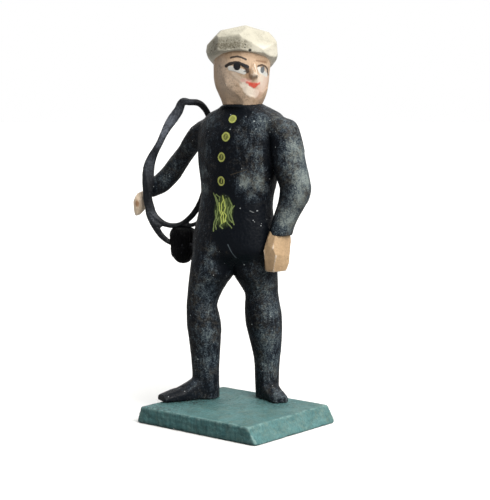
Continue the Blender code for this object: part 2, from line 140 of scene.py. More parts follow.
# one straight knife cut through a body that bulges everywhere, at a distance from its middle
def cutFlat(bm, middle, facing, distance):
    point = placed(*middle) + facing * distance * mm
    bmesh.ops.recalc_face_normals(bm, faces=bm.faces[:])
    cut = bmesh.ops.bisect_plane(bm, geom=bm.verts[:] + bm.edges[:] + bm.faces[:],
                                 plane_co=point, plane_no=facing, clear_outer=True)
    rim = [item for item in cut["geom_cut"] if isinstance(item, bmesh.types.BMEdge)]
    if rim:
        bmesh.ops.contextual_create(bm, geom=rim)


def toObject(bm, name):
    bmesh.ops.recalc_face_normals(bm, faces=bm.faces[:])
    mesh = bpy.data.meshes.new(name)
    bm.to_mesh(mesh)
    bm.free()
    obj = bpy.data.objects.new(name, mesh)
    bpy.context.scene.collection.objects.link(obj)
    return obj


def applyModifiers(obj):
    bpy.context.view_layer.update()
    graph = bpy.context.evaluated_depsgraph_get()
    mesh = bpy.data.meshes.new_from_object(obj.evaluated_get(graph))
    obj.modifiers.clear()
    obj.data = mesh


# one skin over overlapping bodies, softened where they meet
def fuse(obj, voxel, softening):
    remesh = obj.modifiers.new("fuse", "REMESH")
    remesh.mode = "VOXEL"
    remesh.voxel_size = voxel * mm
    if softening:
        soften = obj.modifiers.new("soften", "SMOOTH")
        soften.factor = 0.5
        soften.iterations = softening
    applyModifiers(obj)


# points in millimetres, with their normals
def pointsOf(mesh):
    points = np.empty(len(mesh.vertices) * 3)
    normals = np.empty(len(mesh.vertices) * 3)
    mesh.vertices.foreach_get("co", points)
    mesh.vertices.foreach_get("normal", normals)
    return points.reshape(-1, 3) / mm, normals.reshape(-1, 3)


def setPoints(mesh, points):
    mesh.vertices.foreach_set("co", (points * mm).ravel())
    mesh.update()


def keepValues(mesh, name, values):
    kind = "FLOAT_VECTOR" if values.ndim == 2 else "FLOAT"
    layer = mesh.attributes.new(name, kind, "POINT")
    kind = "vector" if values.ndim == 2 else "value"
    layer.data.foreach_set(kind, values.astype(np.float32).ravel())


# a mean over each point's neighbours
def neighbourMean(mesh):
    ends = np.empty(len(mesh.edges) * 2, np.int32)
    mesh.edges.foreach_get("vertices", ends)
    a, b = ends.reshape(-1, 2).T
    total = len(mesh.vertices)
    count = np.bincount(np.concatenate([a, b]), minlength=total).clip(1)

    def around(values):
        if values.ndim == 2:
            return np.stack([around(values[:, k]) for k in range(3)], 1)
        return (np.bincount(a, values[b], total) + np.bincount(b, values[a], total)) / count
    return around


# how far each point stands proud of the softened form, from -1 in a recess to 1 on an edge
def keepProud(mesh, rounds):
    around = neighbourMean(mesh)
    points, normals = pointsOf(mesh)
    soft = points
    for _ in range(rounds):
        soft = around(soft)
    bend = ((points - soft) * normals).sum(1)
    bend = around(bend - np.median(bend))
    keepValues(mesh, "proud", np.clip(bend / np.percentile(np.abs(bend), 97), -1, 1))


# flattens the skin in patches, as a knife leaves it; patches are longer than wide
def carveFacets(mesh, cuts, stretch, flatness, seed):
    around = neighbourMean(mesh)
    points, normals = pointsOf(mesh)
    form = np.hstack([points * (1, 1, 1 / stretch), around(around(normals)) * 5])
    seeds = form[np.random.default_rng(seed).choice(len(form), cuts, replace=False)]
    for _ in range(4):
        cell = np.concatenate([
            np.argmin((seeds**2).sum(1) - 2 * part @ seeds.T, axis=1)
            for part in np.array_split(form, 1 + len(form) // 8000)])
        count = np.bincount(cell, minlength=cuts).clip(1)
        seeds = np.stack([np.bincount(cell, form[:, k], cuts) / count for k in range(6)], 1)
    middle = np.stack([np.bincount(cell, points[:, k], cuts) / count for k in range(3)], 1)
    facing = np.stack([np.bincount(cell, normals[:, k], cuts) for k in range(3)], 1)
    facing /= np.linalg.norm(facing, axis=1, keepdims=True).clip(1e-9)
    proud = ((points - middle[cell]) * facing[cell]).sum(1)
    moved = facing[cell] * (np.clip(proud, -0.6, 0.6) * flatness)[:, None]
    points = points - 0.5 * (moved + around(moved))
    setPoints(mesh, points)


# shaves what stands proud of a plane, as one stroke of a knife does
def knifeStroke(points, normals, middle, facing, reach):
    facing = np.array(facing) / np.linalg.norm(facing)
    offset = points - np.array(middle)
    proud = offset @ facing
    near = (proud > 0) & (np.linalg.norm(offset, axis=1) < reach) & (normals @ facing > 0.2)
    points[near] -= proud[near, None] * facing


# how strongly each point lies within a soft spot
def softSpot(points, middle, reach, strength):
    return strength * np.exp(-(np.linalg.norm(points - middle, axis=1) / reach) ** 2)


def roughen(points, normals, size, depth):
    wobble = np.array([noise.noise(Vector(p / size)) for p in points])
    return points + normals * (wobble * depth)[:, None]


def finishPiece(obj, material, slot, *nodes):
    obj.data.materials.clear()
    obj.data.materials.append(material)
    for face in obj.data.polygons:
        face.use_smooth = True
    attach(obj, "root")
    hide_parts(*nodes)
    print(f"{obj.name}: {len(obj.data.polygons)} faces")


# shader nodes

def addNode(tree, kind, values=None, **settings):
    made = tree.nodes.new(kind)
    for key, value in settings.items():
        setattr(made, key, value)
    for key, value in (values or {}).items():
        if isinstance(value, bpy.types.NodeSocket):
            tree.links.new(value, made.inputs[key])
        else:
            made.inputs[key].default_value = value
    return made


# the node tree that the sockets among these values belong to
def treeOf(*values):
    return next(value.id_data for value in values if isinstance(value, bpy.types.NodeSocket))


def calc(operation, first, second=0.0, clamp=False):
    return addNode(treeOf(first, second), "ShaderNodeMath", {0: first, 1: second},
                   operation=operation, use_clamp=clamp).outputs[0]


def times(first, second, clamp=False):
    return calc("MULTIPLY", first, second, clamp)


def plus(first, second):
    return calc("ADD", first, second)


def minus(first, second):
    return calc("SUBTRACT", first, second)


def vectorCalc(operation, first, second=(0, 0, 0)):
    made = addNode(treeOf(first, second), "ShaderNodeVectorMath", {0: first, 1: second},
                   operation=operation)
    return made.outputs["Value" if operation in ("LENGTH", "DOT_PRODUCT") else "Vector"]


def scaled(vector, factor):
    return addNode(vector.id_data, "ShaderNodeVectorMath", {0: vector, "Scale": factor},
                   operation="SCALE").outputs[0]


def ramp(value, low, high, toLow=0.0, toHigh=1.0):
    return addNode(value.id_data, "ShaderNodeMapRange", {
        "Value": value, "From Min": low, "From Max": high, "To Min": toLow, "To Max": toHigh},
        interpolation_type="SMOOTHSTEP").outputs["Result"]


def blendColour(mask, under, over, strength=1.0):
    if strength != 1.0:
        mask = times(mask, strength)
    made = addNode(mask.id_data, "ShaderNodeMix", {0: mask}, data_type="RGBA", clamp_factor=True)
    for index, value in ((6, under), (7, over)):
        if isinstance(value, bpy.types.NodeSocket):
            mask.id_data.links.new(value, made.inputs[index])
        else:
            made.inputs[index].default_value = (*value, 1)
    return made.outputs[2]


def newGroup(name, inputs, outputs):
    group = bpy.data.node_groups.new(name, "ShaderNodeTree")
    for label, value in inputs.items():
        kind = "NodeSocketVector" if isinstance(value, tuple) else "NodeSocketFloat"
        group.interface.new_socket(label, in_out="INPUT", socket_type=kind).default_value = value
    for label in outputs:
        group.interface.new_socket(label, in_out="OUTPUT", socket_type="NodeSocketFloat")
    start = group.nodes.new("NodeGroupInput")
    end = group.nodes.new("NodeGroupOutput")
    return group, start.outputs, end.inputs


def useGroup(group, values):
    return addNode(treeOf(*values.values()), "ShaderNodeGroup", values, node_tree=group).outputs


# brush marks drawn out along the height of the figure
def makePaintStreaks():
    group, given, out = newGroup("paintStreaks", {
        "Place": (0, 0, 0), "Width": 0.8, "Length": 6.0, "Seed": 0.0}, ("Mask", "Height"))
    t = group
    flat = calc("DIVIDE", 1.0, given["Width"])
    tall = calc("DIVIDE", 1.0, given["Length"])
    stretch = addNode(t, "ShaderNodeCombineXYZ", {0: flat, 1: flat, 2: tall}).outputs[0]
    place = vectorCalc("MULTIPLY", given["Place"], stretch)
    marks = addNode(t, "ShaderNodeTexNoise", {"Vector": place, "W": given["Seed"], "Scale": 1.0,
                    "Detail": 5.0, "Roughness": 0.6, "Distortion": 0.4}, noise_dimensions="4D")
    t.links.new(ramp(marks.outputs[0], 0.38, 0.66), out["Mask"])
    t.links.new(marks.outputs[0], out["Height"])
    return group


# paint rubbed off where the carving stands proud
def makeRubbedEdges():
    group, given, out = newGroup("rubbedEdges", {
        "Place": (0, 0, 0), "Amount": 0.5, "Patch": 1.2, "Seed": 0.0}, ("Mask", "Recess"))
    t = group
    proud = addNode(t, "ShaderNodeAttribute", attribute_name="proud").outputs["Fac"]
    patch = addNode(t, "ShaderNodeTexNoise", {"Vector": given["Place"], "W": given["Seed"],
                    "Scale": calc("DIVIDE", 1.0, given["Patch"]), "Detail": 6.0,
                    "Roughness": 0.65}, noise_dimensions="4D").outputs[0]
    patch = times(minus(patch, 0.5), 2.2)
    level = plus(plus(proud, patch), given["Amount"])
    t.links.new(ramp(level, 0.75, 1.15), out["Mask"])
    deep = minus(times(patch, 0.5), proud)
    t.links.new(ramp(deep, 0.1, 1.0), out["Recess"])
    return group


# small scattered specks, dots of paint or dust
def makeFlecks():
    group, given, out = newGroup("flecks", {
        "Place": (0, 0, 0), "Spacing": 2.0, "Size": 0.2, "Share": 0.3}, ("Mask",))
    t = group
    spots = addNode(t, "ShaderNodeTexVoronoi", {"Vector": given["Place"],
                    "Scale": calc("DIVIDE", 1.0, given["Spacing"])})
    shape = addNode(t, "ShaderNodeTexNoise", {
        "Vector": given["Place"], "Scale": 2.5, "Detail": 3.0}).outputs[0]
    far = times(spots.outputs["Distance"], given["Spacing"])
    far = plus(far, times(minus(shape, 0.5), 0.35))
    chance = addNode(t, "ShaderNodeSeparateColor", {0: spots.outputs["Color"]})
    size = times(given["Size"], plus(chance.outputs[1], 0.4))
    dot = ramp(far, times(size, 0.7), size, 1.0, 0.0)
    kept = calc("LESS_THAN", chance.outputs[0], given["Share"])
    t.links.new(times(dot, kept), out["Mask"])
    return group


# blotches at two scales, for uneven colour and dirt
def makeMottle():
    group, given, out = newGroup("mottle", {
        "Place": (0, 0, 0), "Broad": 6.0, "Fine": 0.5, "Seed": 0.0}, ("Broad", "Fine"))
    t = group
    for label, detail, low, high in (("Broad", 4.0, 0.4, 0.62), ("Fine", 5.0, 0.36, 0.66)):
        cloud = addNode(t, "ShaderNodeTexNoise", {"Vector": given["Place"], "W": given["Seed"],
                        "Scale": calc("DIVIDE", 1.0, given[label]), "Detail": detail,
                        "Roughness": 0.6}, noise_dimensions="4D").outputs[0]
        t.links.new(ramp(cloud, low, high), out[label])
    return group


# one stroke of a fine brush between two places on the surface
def makeBrushStroke():
    group, given, out = newGroup("brushStroke", {
        "Spot": (0, 0, 0), "From": (0, 0, 0), "To": (1, 0, 0), "Width": 0.4,
        "Softness": 0.08}, ("Mask",))
    t = group
    reach = vectorCalc("SUBTRACT", given["To"], given["From"])
    offset = vectorCalc("SUBTRACT", given["Spot"], given["From"])
    along = calc("DIVIDE", vectorCalc("DOT_PRODUCT", offset, reach),
                 vectorCalc("DOT_PRODUCT", reach, reach), clamp=True)
    away = vectorCalc("LENGTH", vectorCalc("SUBTRACT", offset, scaled(reach, along)))
    edge = minus(away, times(given["Width"], 0.5))
    mask = ramp(edge, times(given["Softness"], -1.0), given["Softness"], 1.0, 0.0)
    t.links.new(mask, out["Mask"])
    return group


# an oval dab of paint, and the outline round it
def makePaintedOval():
    group, given, out = newGroup("paintedOval", {
        "Spot": (0, 0, 0), "Middle": (0, 0, 0), "Half": (1, 1, 3), "Tilt": 0.0, "Line": 0.3,
        "Softness": 0.1}, ("Mask", "Outline"))
    t = group
    offset = vectorCalc("SUBTRACT", given["Spot"], given["Middle"])
    turned = addNode(t, "ShaderNodeVectorRotate", {"Vector": offset, "Angle": given["Tilt"]},
                     rotation_type="Z_AXIS").outputs[0]
    away = vectorCalc("LENGTH", vectorCalc("DIVIDE", turned, given["Half"]))
    t.links.new(ramp(away, minus(1.0, given["Softness"]),
                     plus(1.0, given["Softness"]), 1.0, 0.0), out["Mask"])
    rim = calc("ABSOLUTE", minus(away, 1.0))
    t.links.new(ramp(rim, times(given["Line"], 0.5), given["Line"], 1.0, 0.0),
                out["Outline"])
    return group


paintStreaks = makePaintStreaks()
rubbedEdges = makeRubbedEdges()
flecks = makeFlecks()
mottle = makeMottle()
brushStroke = makeBrushStroke()
paintedOval = makePaintedOval()


# a new material with its shader, and the place on the object in millimetres
def newMaterial(name, roughness, specular):
    material = bpy.data.materials.new(name)
    material.use_nodes = True
    tree = material.node_tree
    shader = tree.nodes["Principled BSDF"]
    shader.inputs["Roughness"].default_value = roughness
    shader.inputs["Specular IOR Level"].default_value = specular
    here = addNode(tree, "ShaderNodeTexCoord").outputs["Object"]
    return material, tree, scaled(here, 1 / mm)


def attribute(tree, name, output="Vector"):
    return addNode(tree, "ShaderNodeAttribute", attribute_name=name).outputs[output]


# gives the shader its colour, its roughness and its relief, in layers of height and depth
def finishMaterial(material, base, roughness, *layers):
    tree = material.node_tree
    shader = tree.nodes["Principled BSDF"]
    tree.links.new(base, shader.inputs["Base Color"])
    tree.links.new(roughness, shader.inputs["Roughness"])
    normal = None
    for height, depth in layers:
        values = {"Height": height, "Distance": depth * mm, "Strength": 1.0}
        if normal:
            values["Normal"] = normal
        normal = addNode(tree, "ShaderNodeBump", values).outputs[0]
    tree.links.new(normal, shader.inputs["Normal"])
    return material


# a place on the surface moved about a little, so that what is painted there has uneven edges
def uneven(spot, size, depth):
    wobble = addNode(spot.id_data, "ShaderNodeTexNoise",
                     {"Vector": spot, "Scale": 1 / size, "Detail": 3.0})
    moved = scaled(vectorCalc("SUBTRACT", wobble.outputs["Color"], (0.5, 0.5, 0.5)), depth * 2)
    return vectorCalc("ADD", spot, vectorCalc("MULTIPLY", moved, (1, 1, 0)))


# brush strokes through a list of places, laid over a colour
def paintLine(under, spot, places, colour, width, strength=1.0, softness=0.08):
    mask = None
    for start, end in zip(places, places[1:]):
        stroke = useGroup(brushStroke, {"Spot": spot, "From": (*start, 0), "To": (*end, 0),
                                        "Width": width, "Softness": softness})["Mask"]
        mask = calc("MAXIMUM", mask, stroke) if mask else stroke
    return blendColour(mask, under, colour, strength), mask


def paintOval(under, spot, middle, half, colour, strength=1.0, softness=0.12):
    mask = useGroup(paintedOval, {"Spot": spot, "Middle": (*middle, 0), "Half": (*half, 3),
                                  "Softness": softness})["Mask"]
    return blendColour(mask, under, colour, strength), mask


# a single spot of colour, at a place of its own in the piece
def dab(place, under, middle, half, colour, strength):
    mask = useGroup(paintedOval, {
        "Spot": place, "Middle": middle, "Half": half, "Softness": 0.4})["Mask"]
    return blendColour(mask, under, colour, strength)


# camera, light and floor

camera = {
    "place": (0.24424, -0.28902, 0.08959),
    "target": (0.00251, 0.00135, 0.04627),
    "lens": 104.33,
}
studio = {
    "frontLight": 0.10,  # the room behind the camera is dim, the paper behind the figure is bright
    "backLight": 0.85,
    "backDirection": (-0.645, 0.764, 0.12),
    "floor": (0.93, 0.93, 0.92),
    "floorBounce": 0.22,
    # direction in plan and height of each light, its strength and how wide it is, in degrees
    "lights": {
        "keyLight": (77, 40, 4.1, 48, (1.0, 0.985, 0.955)),
        "topLight": (110, 76, 0.8, 60, (1.0, 1.0, 1.0)),
    },
}


# one thing for the camera to see, and another to light the figure with
def seenOrLit(tree, seen, lit):
    path = addNode(tree, "ShaderNodeLightPath")
    return addNode(tree, "ShaderNodeMixShader", {
        0: path.outputs["Is Camera Ray"], 1: lit, 2: seen}).outputs[0]


def makeStudio():
    scene = bpy.context.scene
    for obj in list(scene.objects):
        if obj.type in ("CAMERA", "LIGHT") or obj.name == "Cube":
            bpy.data.objects.remove(obj)
    view = bpy.data.cameras.new("photoCamera")
    view.lens = camera["lens"]
    view.sensor_width = 36
    view.clip_start, view.clip_end = 0.01, 50
    photoCamera = bpy.data.objects.new("photoCamera", view)
    photoCamera.location = camera["place"]
    sight = Vector(camera["target"]) - Vector(camera["place"])
    photoCamera.rotation_euler = sight.to_track_quat("-Z", "Y").to_euler()
    scene.collection.objects.link(photoCamera)
    scene.camera = photoCamera
    for name, (plan, height, strength, width, colour) in studio["lights"].items():
        lamp = bpy.data.lights.new(name, "SUN")
        lamp.energy = strength
        lamp.angle = math.radians(width)
        lamp.color = colour
        light = bpy.data.objects.new(name, lamp)
        light.rotation_euler = directionOf(plan, height).to_track_quat("Z", "Y").to_euler()
        scene.collection.objects.link(light)
    scene.view_settings.view_transform = "Standard"

    world = bpy.data.worlds.new("studio")
    world.use_nodes = True
    scene.world = world
    tree = world.node_tree
    tree.nodes.clear()
    towards = addNode(tree, "ShaderNodeTexCoord").outputs["Generated"]
    behind = vectorCalc("DOT_PRODUCT", towards, studio["backDirection"])
    level = ramp(behind, -0.42, 0.85, studio["frontLight"], studio["backLight"])
    seen = addNode(tree, "ShaderNodeBackground", {"Color": (1, 1, 1, 1), "Strength": 1.0})
    lit = addNode(tree, "ShaderNodeBackground", {"Color": (1, 1, 1, 1), "Strength": level})
    surface = seenOrLit(tree, seen.outputs[0], lit.outputs[0])
    addNode(tree, "ShaderNodeOutputWorld", {"Surface": surface})

    bm = bmesh.new()
    bmesh.ops.create_circle(bm, cap_ends=True, segments=96, radius=3.0)
    floor = toObject(bm, "studioFloor")
    material, tree, _ = newMaterial("pale floor", 0.9, 0.0)
    shader = tree.nodes["Principled BSDF"]
    shader.inputs["Base Color"].default_value = (*studio["floor"], 1)
    # pale to the eye, but it throws little light up under the figure
    bounce = addNode(tree, "ShaderNodeBsdfDiffuse", {"Color": (*[studio["floorBounce"]] * 3, 1)})
    tree.links.new(seenOrLit(tree, shader.outputs[0], bounce.outputs[0]),
                   tree.nodes["Material Output"].inputs["Surface"])
    floor.data.materials.append(material)


makeStudio()
print("camera, light and floor ready")


# the coat, trousers and shoes

coat = {
    "torso": [
        (-4.6, 5.3, 36.3, 3.6, 2.2, 14), (-4.6, 5.3, 37.6, 7.6, 4.9, 14),
        (-4.5, 5.3, 39.2, 10.4, 6.7, 14), (-4.5, 5.3, 41.0, 11.7, 7.7, 14),
        (-4.4, 5.4, 45.0, 11.5, 7.6, 12), (-4.3, 5.5, 49.0, 10.8, 7.1, 8),
        (-4.1, 5.8, 54.0, 10.3, 6.8, 6), (-3.7, 6.1, 58.0, 10.7, 7.1, 6),
        (-3.5, 6.2, 64.0, 11.8, 7.5, 6), (-3.4, 6.3, 70.0, 12.1, 7.5, 6),
        (-3.0, 6.6, 73.0, 12.1, 7.1, 6), (-2.6, 6.8, 75.2, 11.8, 6.4, 6),
        (-2.2, 7.2, 77.0, 10.6, 5.7, 6), (-2.3, 7.1, 78.2, 7.4, 5.4, 6),
        (-2.5, 6.75, 78.9, 5.9, 6.0, 40), (-2.5, 6.6, 79.4, 5.2, 5.3, 50),
    ],
    "rightLeg": [
        (-8.8, 3.0, 43.0, 5.0, 5.4, 0), (-9.6, 2.6, 38.0, 5.7, 5.9, 0), (-10.0, 2.4, 34.0, 5.7, 5.9, 0),
        (-11.2, 1.9, 30.9, 4.8, 5.2, 0), (-12.0, 1.5, 28.2, 4.2, 4.6, 0),
        (-12.5, 1.2, 25.6, 3.9, 4.2, 0), (-12.4, 1.4, 23.2, 4.2, 4.3, 0),
        (-12.3, 1.8, 20.3, 4.6, 4.5, 0), (-12.3, 2.1, 16.4, 4.3, 4.2, 0),
        (-12.4, 2.4, 11.7, 3.9, 3.8, 0), (-12.4, 2.6, 7.0, 3.55, 3.55, 0),
        (-12.4, 2.7, 3.5, 3.5, 3.5, 0), (-12.2, 2.9, -0.5, 3.3, 3.3, 0),
    ],
    "leftLeg": [
        (0.1, 6.9, 43.0, 5.1, 5.6, 0), (0.2, 8.2, 38.0, 5.7, 6.0, 0), (0.0, 8.9, 34.0, 5.6, 5.9, 0),
        (0.3, 9.7, 31.6, 5.0, 5.3, 0), (0.6, 10.6, 28.8, 4.2, 4.6, 0), (0.6, 10.9, 26.5, 4.5, 4.5, 0),
        (0.5, 11.4, 23.3, 4.95, 4.7, 0), (0.5, 11.9, 19.7, 4.85, 4.6, 0),
        (0.5, 12.6, 15.6, 4.25, 4.15, 0), (0.5, 13.1, 11.7, 3.65, 3.6, 0),
        (0.4, 13.3, 8.5, 3.25, 3.3, 0), (0.3, 13.4, 4.5, 3.2, 3.2, 0), (0.3, 13.4, -0.5, 3.1, 3.1, 0),
    ],
    "leftArm": [
        (6.5, 6.9, 76.6, 1.6, 1.8, 0), (8.7, 7.2, 75.7, 3.2, 3.0, 0), (10.2, 7.4, 74.0, 3.9, 3.7, 0),
        (11.0, 7.4, 71.7, 4.1, 4.0, 0), (11.5, 7.7, 67.7, 4.2, 4.3, 0), (11.8, 8.0, 64.5, 4.3, 4.4, 0),
        (12.5, 8.6, 61.0, 4.3, 4.4, 0), (13.1, 9.1, 58.0, 4.0, 4.1, 0), (13.0, 9.0, 55.4, 3.9, 4.0, 0),
        (12.2, 8.4, 52.8, 3.55, 3.7, 0), (11.2, 7.6, 50.0, 3.25, 3.4, 0),
        (10.5, 7.0, 47.5, 3.0, 3.2, 0), (10.2, 6.7, 45.4, 3.05, 3.2, 0),
    ],
    "rightArm": [
        (-10.5, 5.8, 72.6, 3.0, 3.0, 0), (-13.4, 5.2, 72.4, 3.2, 3.1, 0),
        (-16.4, 4.9, 71.0, 3.0, 3.0, 0), (-19.0, 5.1, 69.0, 2.7, 2.7, 0),
        (-22.0, 5.7, 66.2, 2.4, 2.4, 0), (-25.4, 6.0, 62.9, 2.55, 2.6, 0),
        (-28.0, 5.8, 59.9, 2.65, 2.7, 0), (-30.6, 5.2, 57.5, 2.65, 2.7, 0),
        (-33.0, 4.0, 55.9, 2.4, 2.4, 0), (-34.2, 3.3, 55.0, 2.0, 2.0, 0),
    ],
    "foot": [
        (0.0, 1.7, 3.0), (0.07, 2.6, 5.0), (0.2, 2.9, 6.6), (0.36, 2.9, 5.9), (0.52, 2.95, 4.3),
        (0.7, 3.0, 3.0), (0.87, 2.8, 2.25), (0.97, 2.6, 1.9), (1.0, 2.4, 1.75),
    ],
    "rightFoot": ((-11.0, 5.4), (-18.1, -9.3), 0.97),  # heel, toe, width factor
    "leftFoot": ((-2.6, 14.3), (8.3, 10.0), 0.83),
    "voxel": 0.3,
    "facets": 560,
    "facetLength": 2.6,
    "facetDepth": 0.42,
    # where limbs run smoothly into the body: x, y, z, reach in plan and in height
    "jointRounds": 50,  # how often the joints below are smoothed
    "haloDepth": 0.9,  # how dark it is round the buttons
    "towardLight": (0.8, -0.1, 0.5), "paintedLitSide": 0.14,  # painted light: paler on the side that faces the key light
    "joints": [(-4.5, 5.5, 39.5, 11.0, 4.5), (7.5, 7.0, 76.0, 4.5, 4.0), (-12.0, 5.5, 73.0, 3.5, 4.0)],
    "middle": (-3.6, 6.2),  # of the painted front, and how far it is turned
    "turn": 10,
    "deep": (0.0038, 0.0056, 0.0090),
    "slate": (0.037, 0.051, 0.068),
    "paleRubbedAndLit": (0.108, 0.134, 0.143),
    "bareAndHighlight": (0.235, 0.270, 0.258),
    "brown": (0.065, 0.050, 0.030),
    "fleck": (0.62, 0.66, 0.66),
    # where hands have rubbed the paint, and painted highlights on the arms, thighs and silhouettes: x, y,
    # z, reach, strength
    "paleSpotsAndHighlights": [
        (7.0, 3.0, 74.0, 4.0, 0.68), (3.7, 1.9, 75.9, 2.5, 0.4), (2.0, 0.0, 71.0, 3.0, 0.4),
        (12.9, 5.0, 74.2, 4.5, 0.58), (10.0, 5.3, 75.9, 3.0, 0.5), (5.6, 1.4, 67.2, 2.6, 0.6),
        (3.9, 0.4, 69.7, 2.2, 0.4),
        (3.0, 0.5, 59.4, 2.4, 1.3), (6.3, 3.0, 59.4, 3.0, 1.25), (4.4, 1.6, 55.8, 2.2, 0.7),
        (6.9, 2.9, 63.0, 2.4, 0.75), (15.8, 6.7, 67.5, 4.5, 1.12), (16.8, 8.0, 60.0, 4.5, 1.3),
        (16.2, 7.1, 55.0, 3.8, 1.2), (14.0, 5.6, 50.0, 4.5, 1.25), (14.8, 4.7, 63.0, 3.0, 0.85),
        (-10.4, -0.5, 61.4, 2.4, 0.85), (-10.2, -0.3, 57.4, 2.6, 0.9), (-11.0, 0.0, 53.9, 2.0, 0.5),
        (-8.9, -1.1, 66.0, 3.0, 0.4), (-5.6, -2.6, 41.0, 1.8, 0.85), (-6.6, -2.2, 37.6, 2.2, 0.7),
        (-7.6, -2.6, 34.0, 2.8, 0.45), (5.0, 6.0, 35.5, 3.5, 0.5),
        (-9.4, -2.9, 30.5, 3.6, 0.6), (-8.9, -1.4, 25.0, 4.0, 0.5), (-9.6, -1.0, 18.0, 4.5, 0.55),
        (-9.8, -0.6, 10.8, 4.5, 0.5), (4.4, 7.3, 30.3, 4.0, 0.65), (4.8, 9.0, 24.8, 3.6, 0.62),
        (3.9, 9.4, 16.5, 4.5, 0.75), (2.8, 10.7, 9.3, 4.0, 0.65), (-12.5, -3.0, 4.2, 2.2, 0.35),
        (6.5, 9.5, 3.0, 2.5, 0.6), (-18.6, 3.4, 66.9, 3.0, 0.45), (-24.3, 3.6, 62.6, 3.4, 0.45),
        (-27.7, 3.2, 58.4, 3.0, 0.5), (-8.5, 0.9, 75.7, 3.0, 0.45), (-14.0, 3.0, 40.0, 5.0, 0.4),
        (-4.0, 13.0, 66.0, 9.0, 0.6), (-5.0, 13.0, 48.0, 8.0, 0.6), (-12.0, 6.0, 20.0, 5.0, 0.55),
        (0.5, 16.5, 20.0, 5.0, 0.55),
    ],
    # painted shade under the chin and in the armpit crease, and darker paint at the hip, crotch, toe and
    # down the front: x, y, z, reach, strength
    "shadeAndDarkPaint": [
        (4.4, 1.1, 46.8, 4.8, 1.0), (2.0, -0.3, 50.5, 3.5, 0.6), (5.7, 2.9, 50.0, 3.0, 0.8),
        (0.0, -1.5, 44.5, 3.0, 0.7), (-2.5, -2.0, 43.5, 2.0, 0.5), (-14.5, -6.0, 1.5, 5.0, 0.35),
        (9.5, 4.4, 69.0, 1.9, 0.9), (8.0, 4.9, 64.0, 1.7, 1.0), (7.4, 4.9, 60.0, 1.7, 0.8),
        (-2.6, 0.5, 37.9, 3.0, 0.5), (3.4, 0.2, 41.5, 3.5, 0.6), (0.5, 1.6, 79.0, 3.2, 0.8),
        (-3.6, 0.6, 79.0, 3.6, 0.7), (-4.5, -1.2, 60.0, 4.5, 0.3), (-3.0, -1.0, 67.0, 3.5, 0.25),
    ],
    # light specks of paint, across and up the front: place and half width
    "specks": [
        ((4.3, 58.4), 0.19), ((4.3, 52.4), 0.12), ((11.8, 72.3), 0.14), ((8.5, 73.1), 0.10),
        ((8.3, 51.7), 0.14), ((7.9, 48.9), 0.11),
    ],
    "scratches": [
        ([(1.74, 61.08), (6.37, 62.53)], (0.075, 0.062, 0.045), 0.22),
        ([(1.35, 42.74), (3.05, 39.23)], (0.12, 0.15, 0.17), 0.26),
        ([(6.77, 51.75), (7.61, 51.35)], (0.28, 0.30, 0.30), 0.18),
    ],
}
buttons = {
    # middle, half width and half height, tilt, and how far each is filled in
    "rounds": [((1.42, 75.6), (1.0, 0.84), 12, 0.6), ((0.22, 71.0), (1.02, 1.02), -8, 0.35),
               ((-1.02, 65.64), (0.94, 1.04), 10, 0.25), ((-1.29, 59.33), (0.92, 1.08), -6, 0.15)],
    "paint": (0.50, 0.54, 0.14),
    # a short stroke inside each of the lower three
    "strokes": [
        [(0.30, 71.3), (0.05, 70.7)], [(-0.9, 66.1), (-1.05, 65.2)], [(-1.05, 59.9), (-1.2, 58.9)],
    ],
    # dark paint round the buttons and the sheaf: place, half width and half height
    "halos": [((1.42, 75.6), (2.1, 1.7)), ((0.22, 71.0), (2.1, 1.9)), ((-1.02, 65.64), (2.0, 2.0)),
              ((-1.29, 59.33), (2.0, 2.1)), ((-0.6, 51.0), (3.9, 6.8))],
}
sheaf = {
    "fill": (0.040, 0.066, 0.014),
    "bright": (0.62, 0.70, 0.17),
    "dull": (0.24, 0.31, 0.11),
    # the middle strokes are bright, the outer ones dull
    "middle": [
        [(-0.61, 54.47), (-1.22, 53.3), (-1.11, 51.53)],
        [(-0.67, 51.08), (-1.21, 49.88), (-0.71, 48.28)],
        [(-0.97, 51.36), (-0.38, 50.52), (-0.17, 48.56)],
        [(-0.33, 51.23), (0.46, 50.34), (0.17, 48.76)],
        [(-0.9, 55.4), (-0.61, 54.47), (0.1, 52.4), (-0.33, 51.23)],
        [(-2.0, 53.6), (-1.7, 51.6), (-0.97, 50.4)],
    ],
    "outer": [
        [(-3.88, 56.01), (-3.28, 54.85), (-2.83, 53.82), (-2.2, 51.6), (-2.56, 50.0)],
        [(-3.01, 55.71), (-1.81, 55.11), (-1.84, 54.21)],
        [(-3.33, 55.41), (-2.44, 53.86), (-1.89, 52.71), (-1.6, 50.8)],
        [(0.93, 52.63), (0.74, 51.57), (1.05, 50.23), (1.39, 49.42), (2.29, 48.68)],
        [(2.64, 52.95), (1.96, 52.18), (1.81, 50.64), (2.36, 49.44), (2.83, 48.09)],
        [(1.02, 54.93), (1.4, 54.12), (2.06, 53.05), (1.3, 51.0)],
        [(0.24, 54.75), (-0.02, 53.63), (0.32, 52.77)],
        [(-2.56, 50.0), (-3.24, 48.21), (-3.2, 46.11)],
        [(-3.05, 51.52), (-2.96, 50.44), (-2.51, 49.44)],
        [(-1.9, 49.6), (-2.47, 48.72), (-2.64, 47.54), (-2.33, 46.71)],
        [(0.52, 49.07), (1.38, 48.03), (2.27, 47.28)],
        [(-0.7, 48.3), (-1.3, 47.6), (-0.4, 46.9)],
    ],
}


# a shoe: rings stand square to the line from heel to toe
def addFoot(bm, heel, toe, width):
    start, end = placed(*heel, 0), placed(*toe, 0)
    ahead = (end - start).normalized()
    aside = ahead.cross(Vector((0, 0, 1)))
    rings = []
    for along, halfWidth, height in curveThrough(coat["foot"], 3):
        middle = start.lerp(end, along)
        middle.z += (height / 2 - 0.6) * mm
        rings.append([middle + aside * a * width * mm + Vector((0, 0, d * mm))
                      for a, d in oval(halfWidth, height / 2 + 0.6, 2.5, 20)])
    skin(bm, rings)


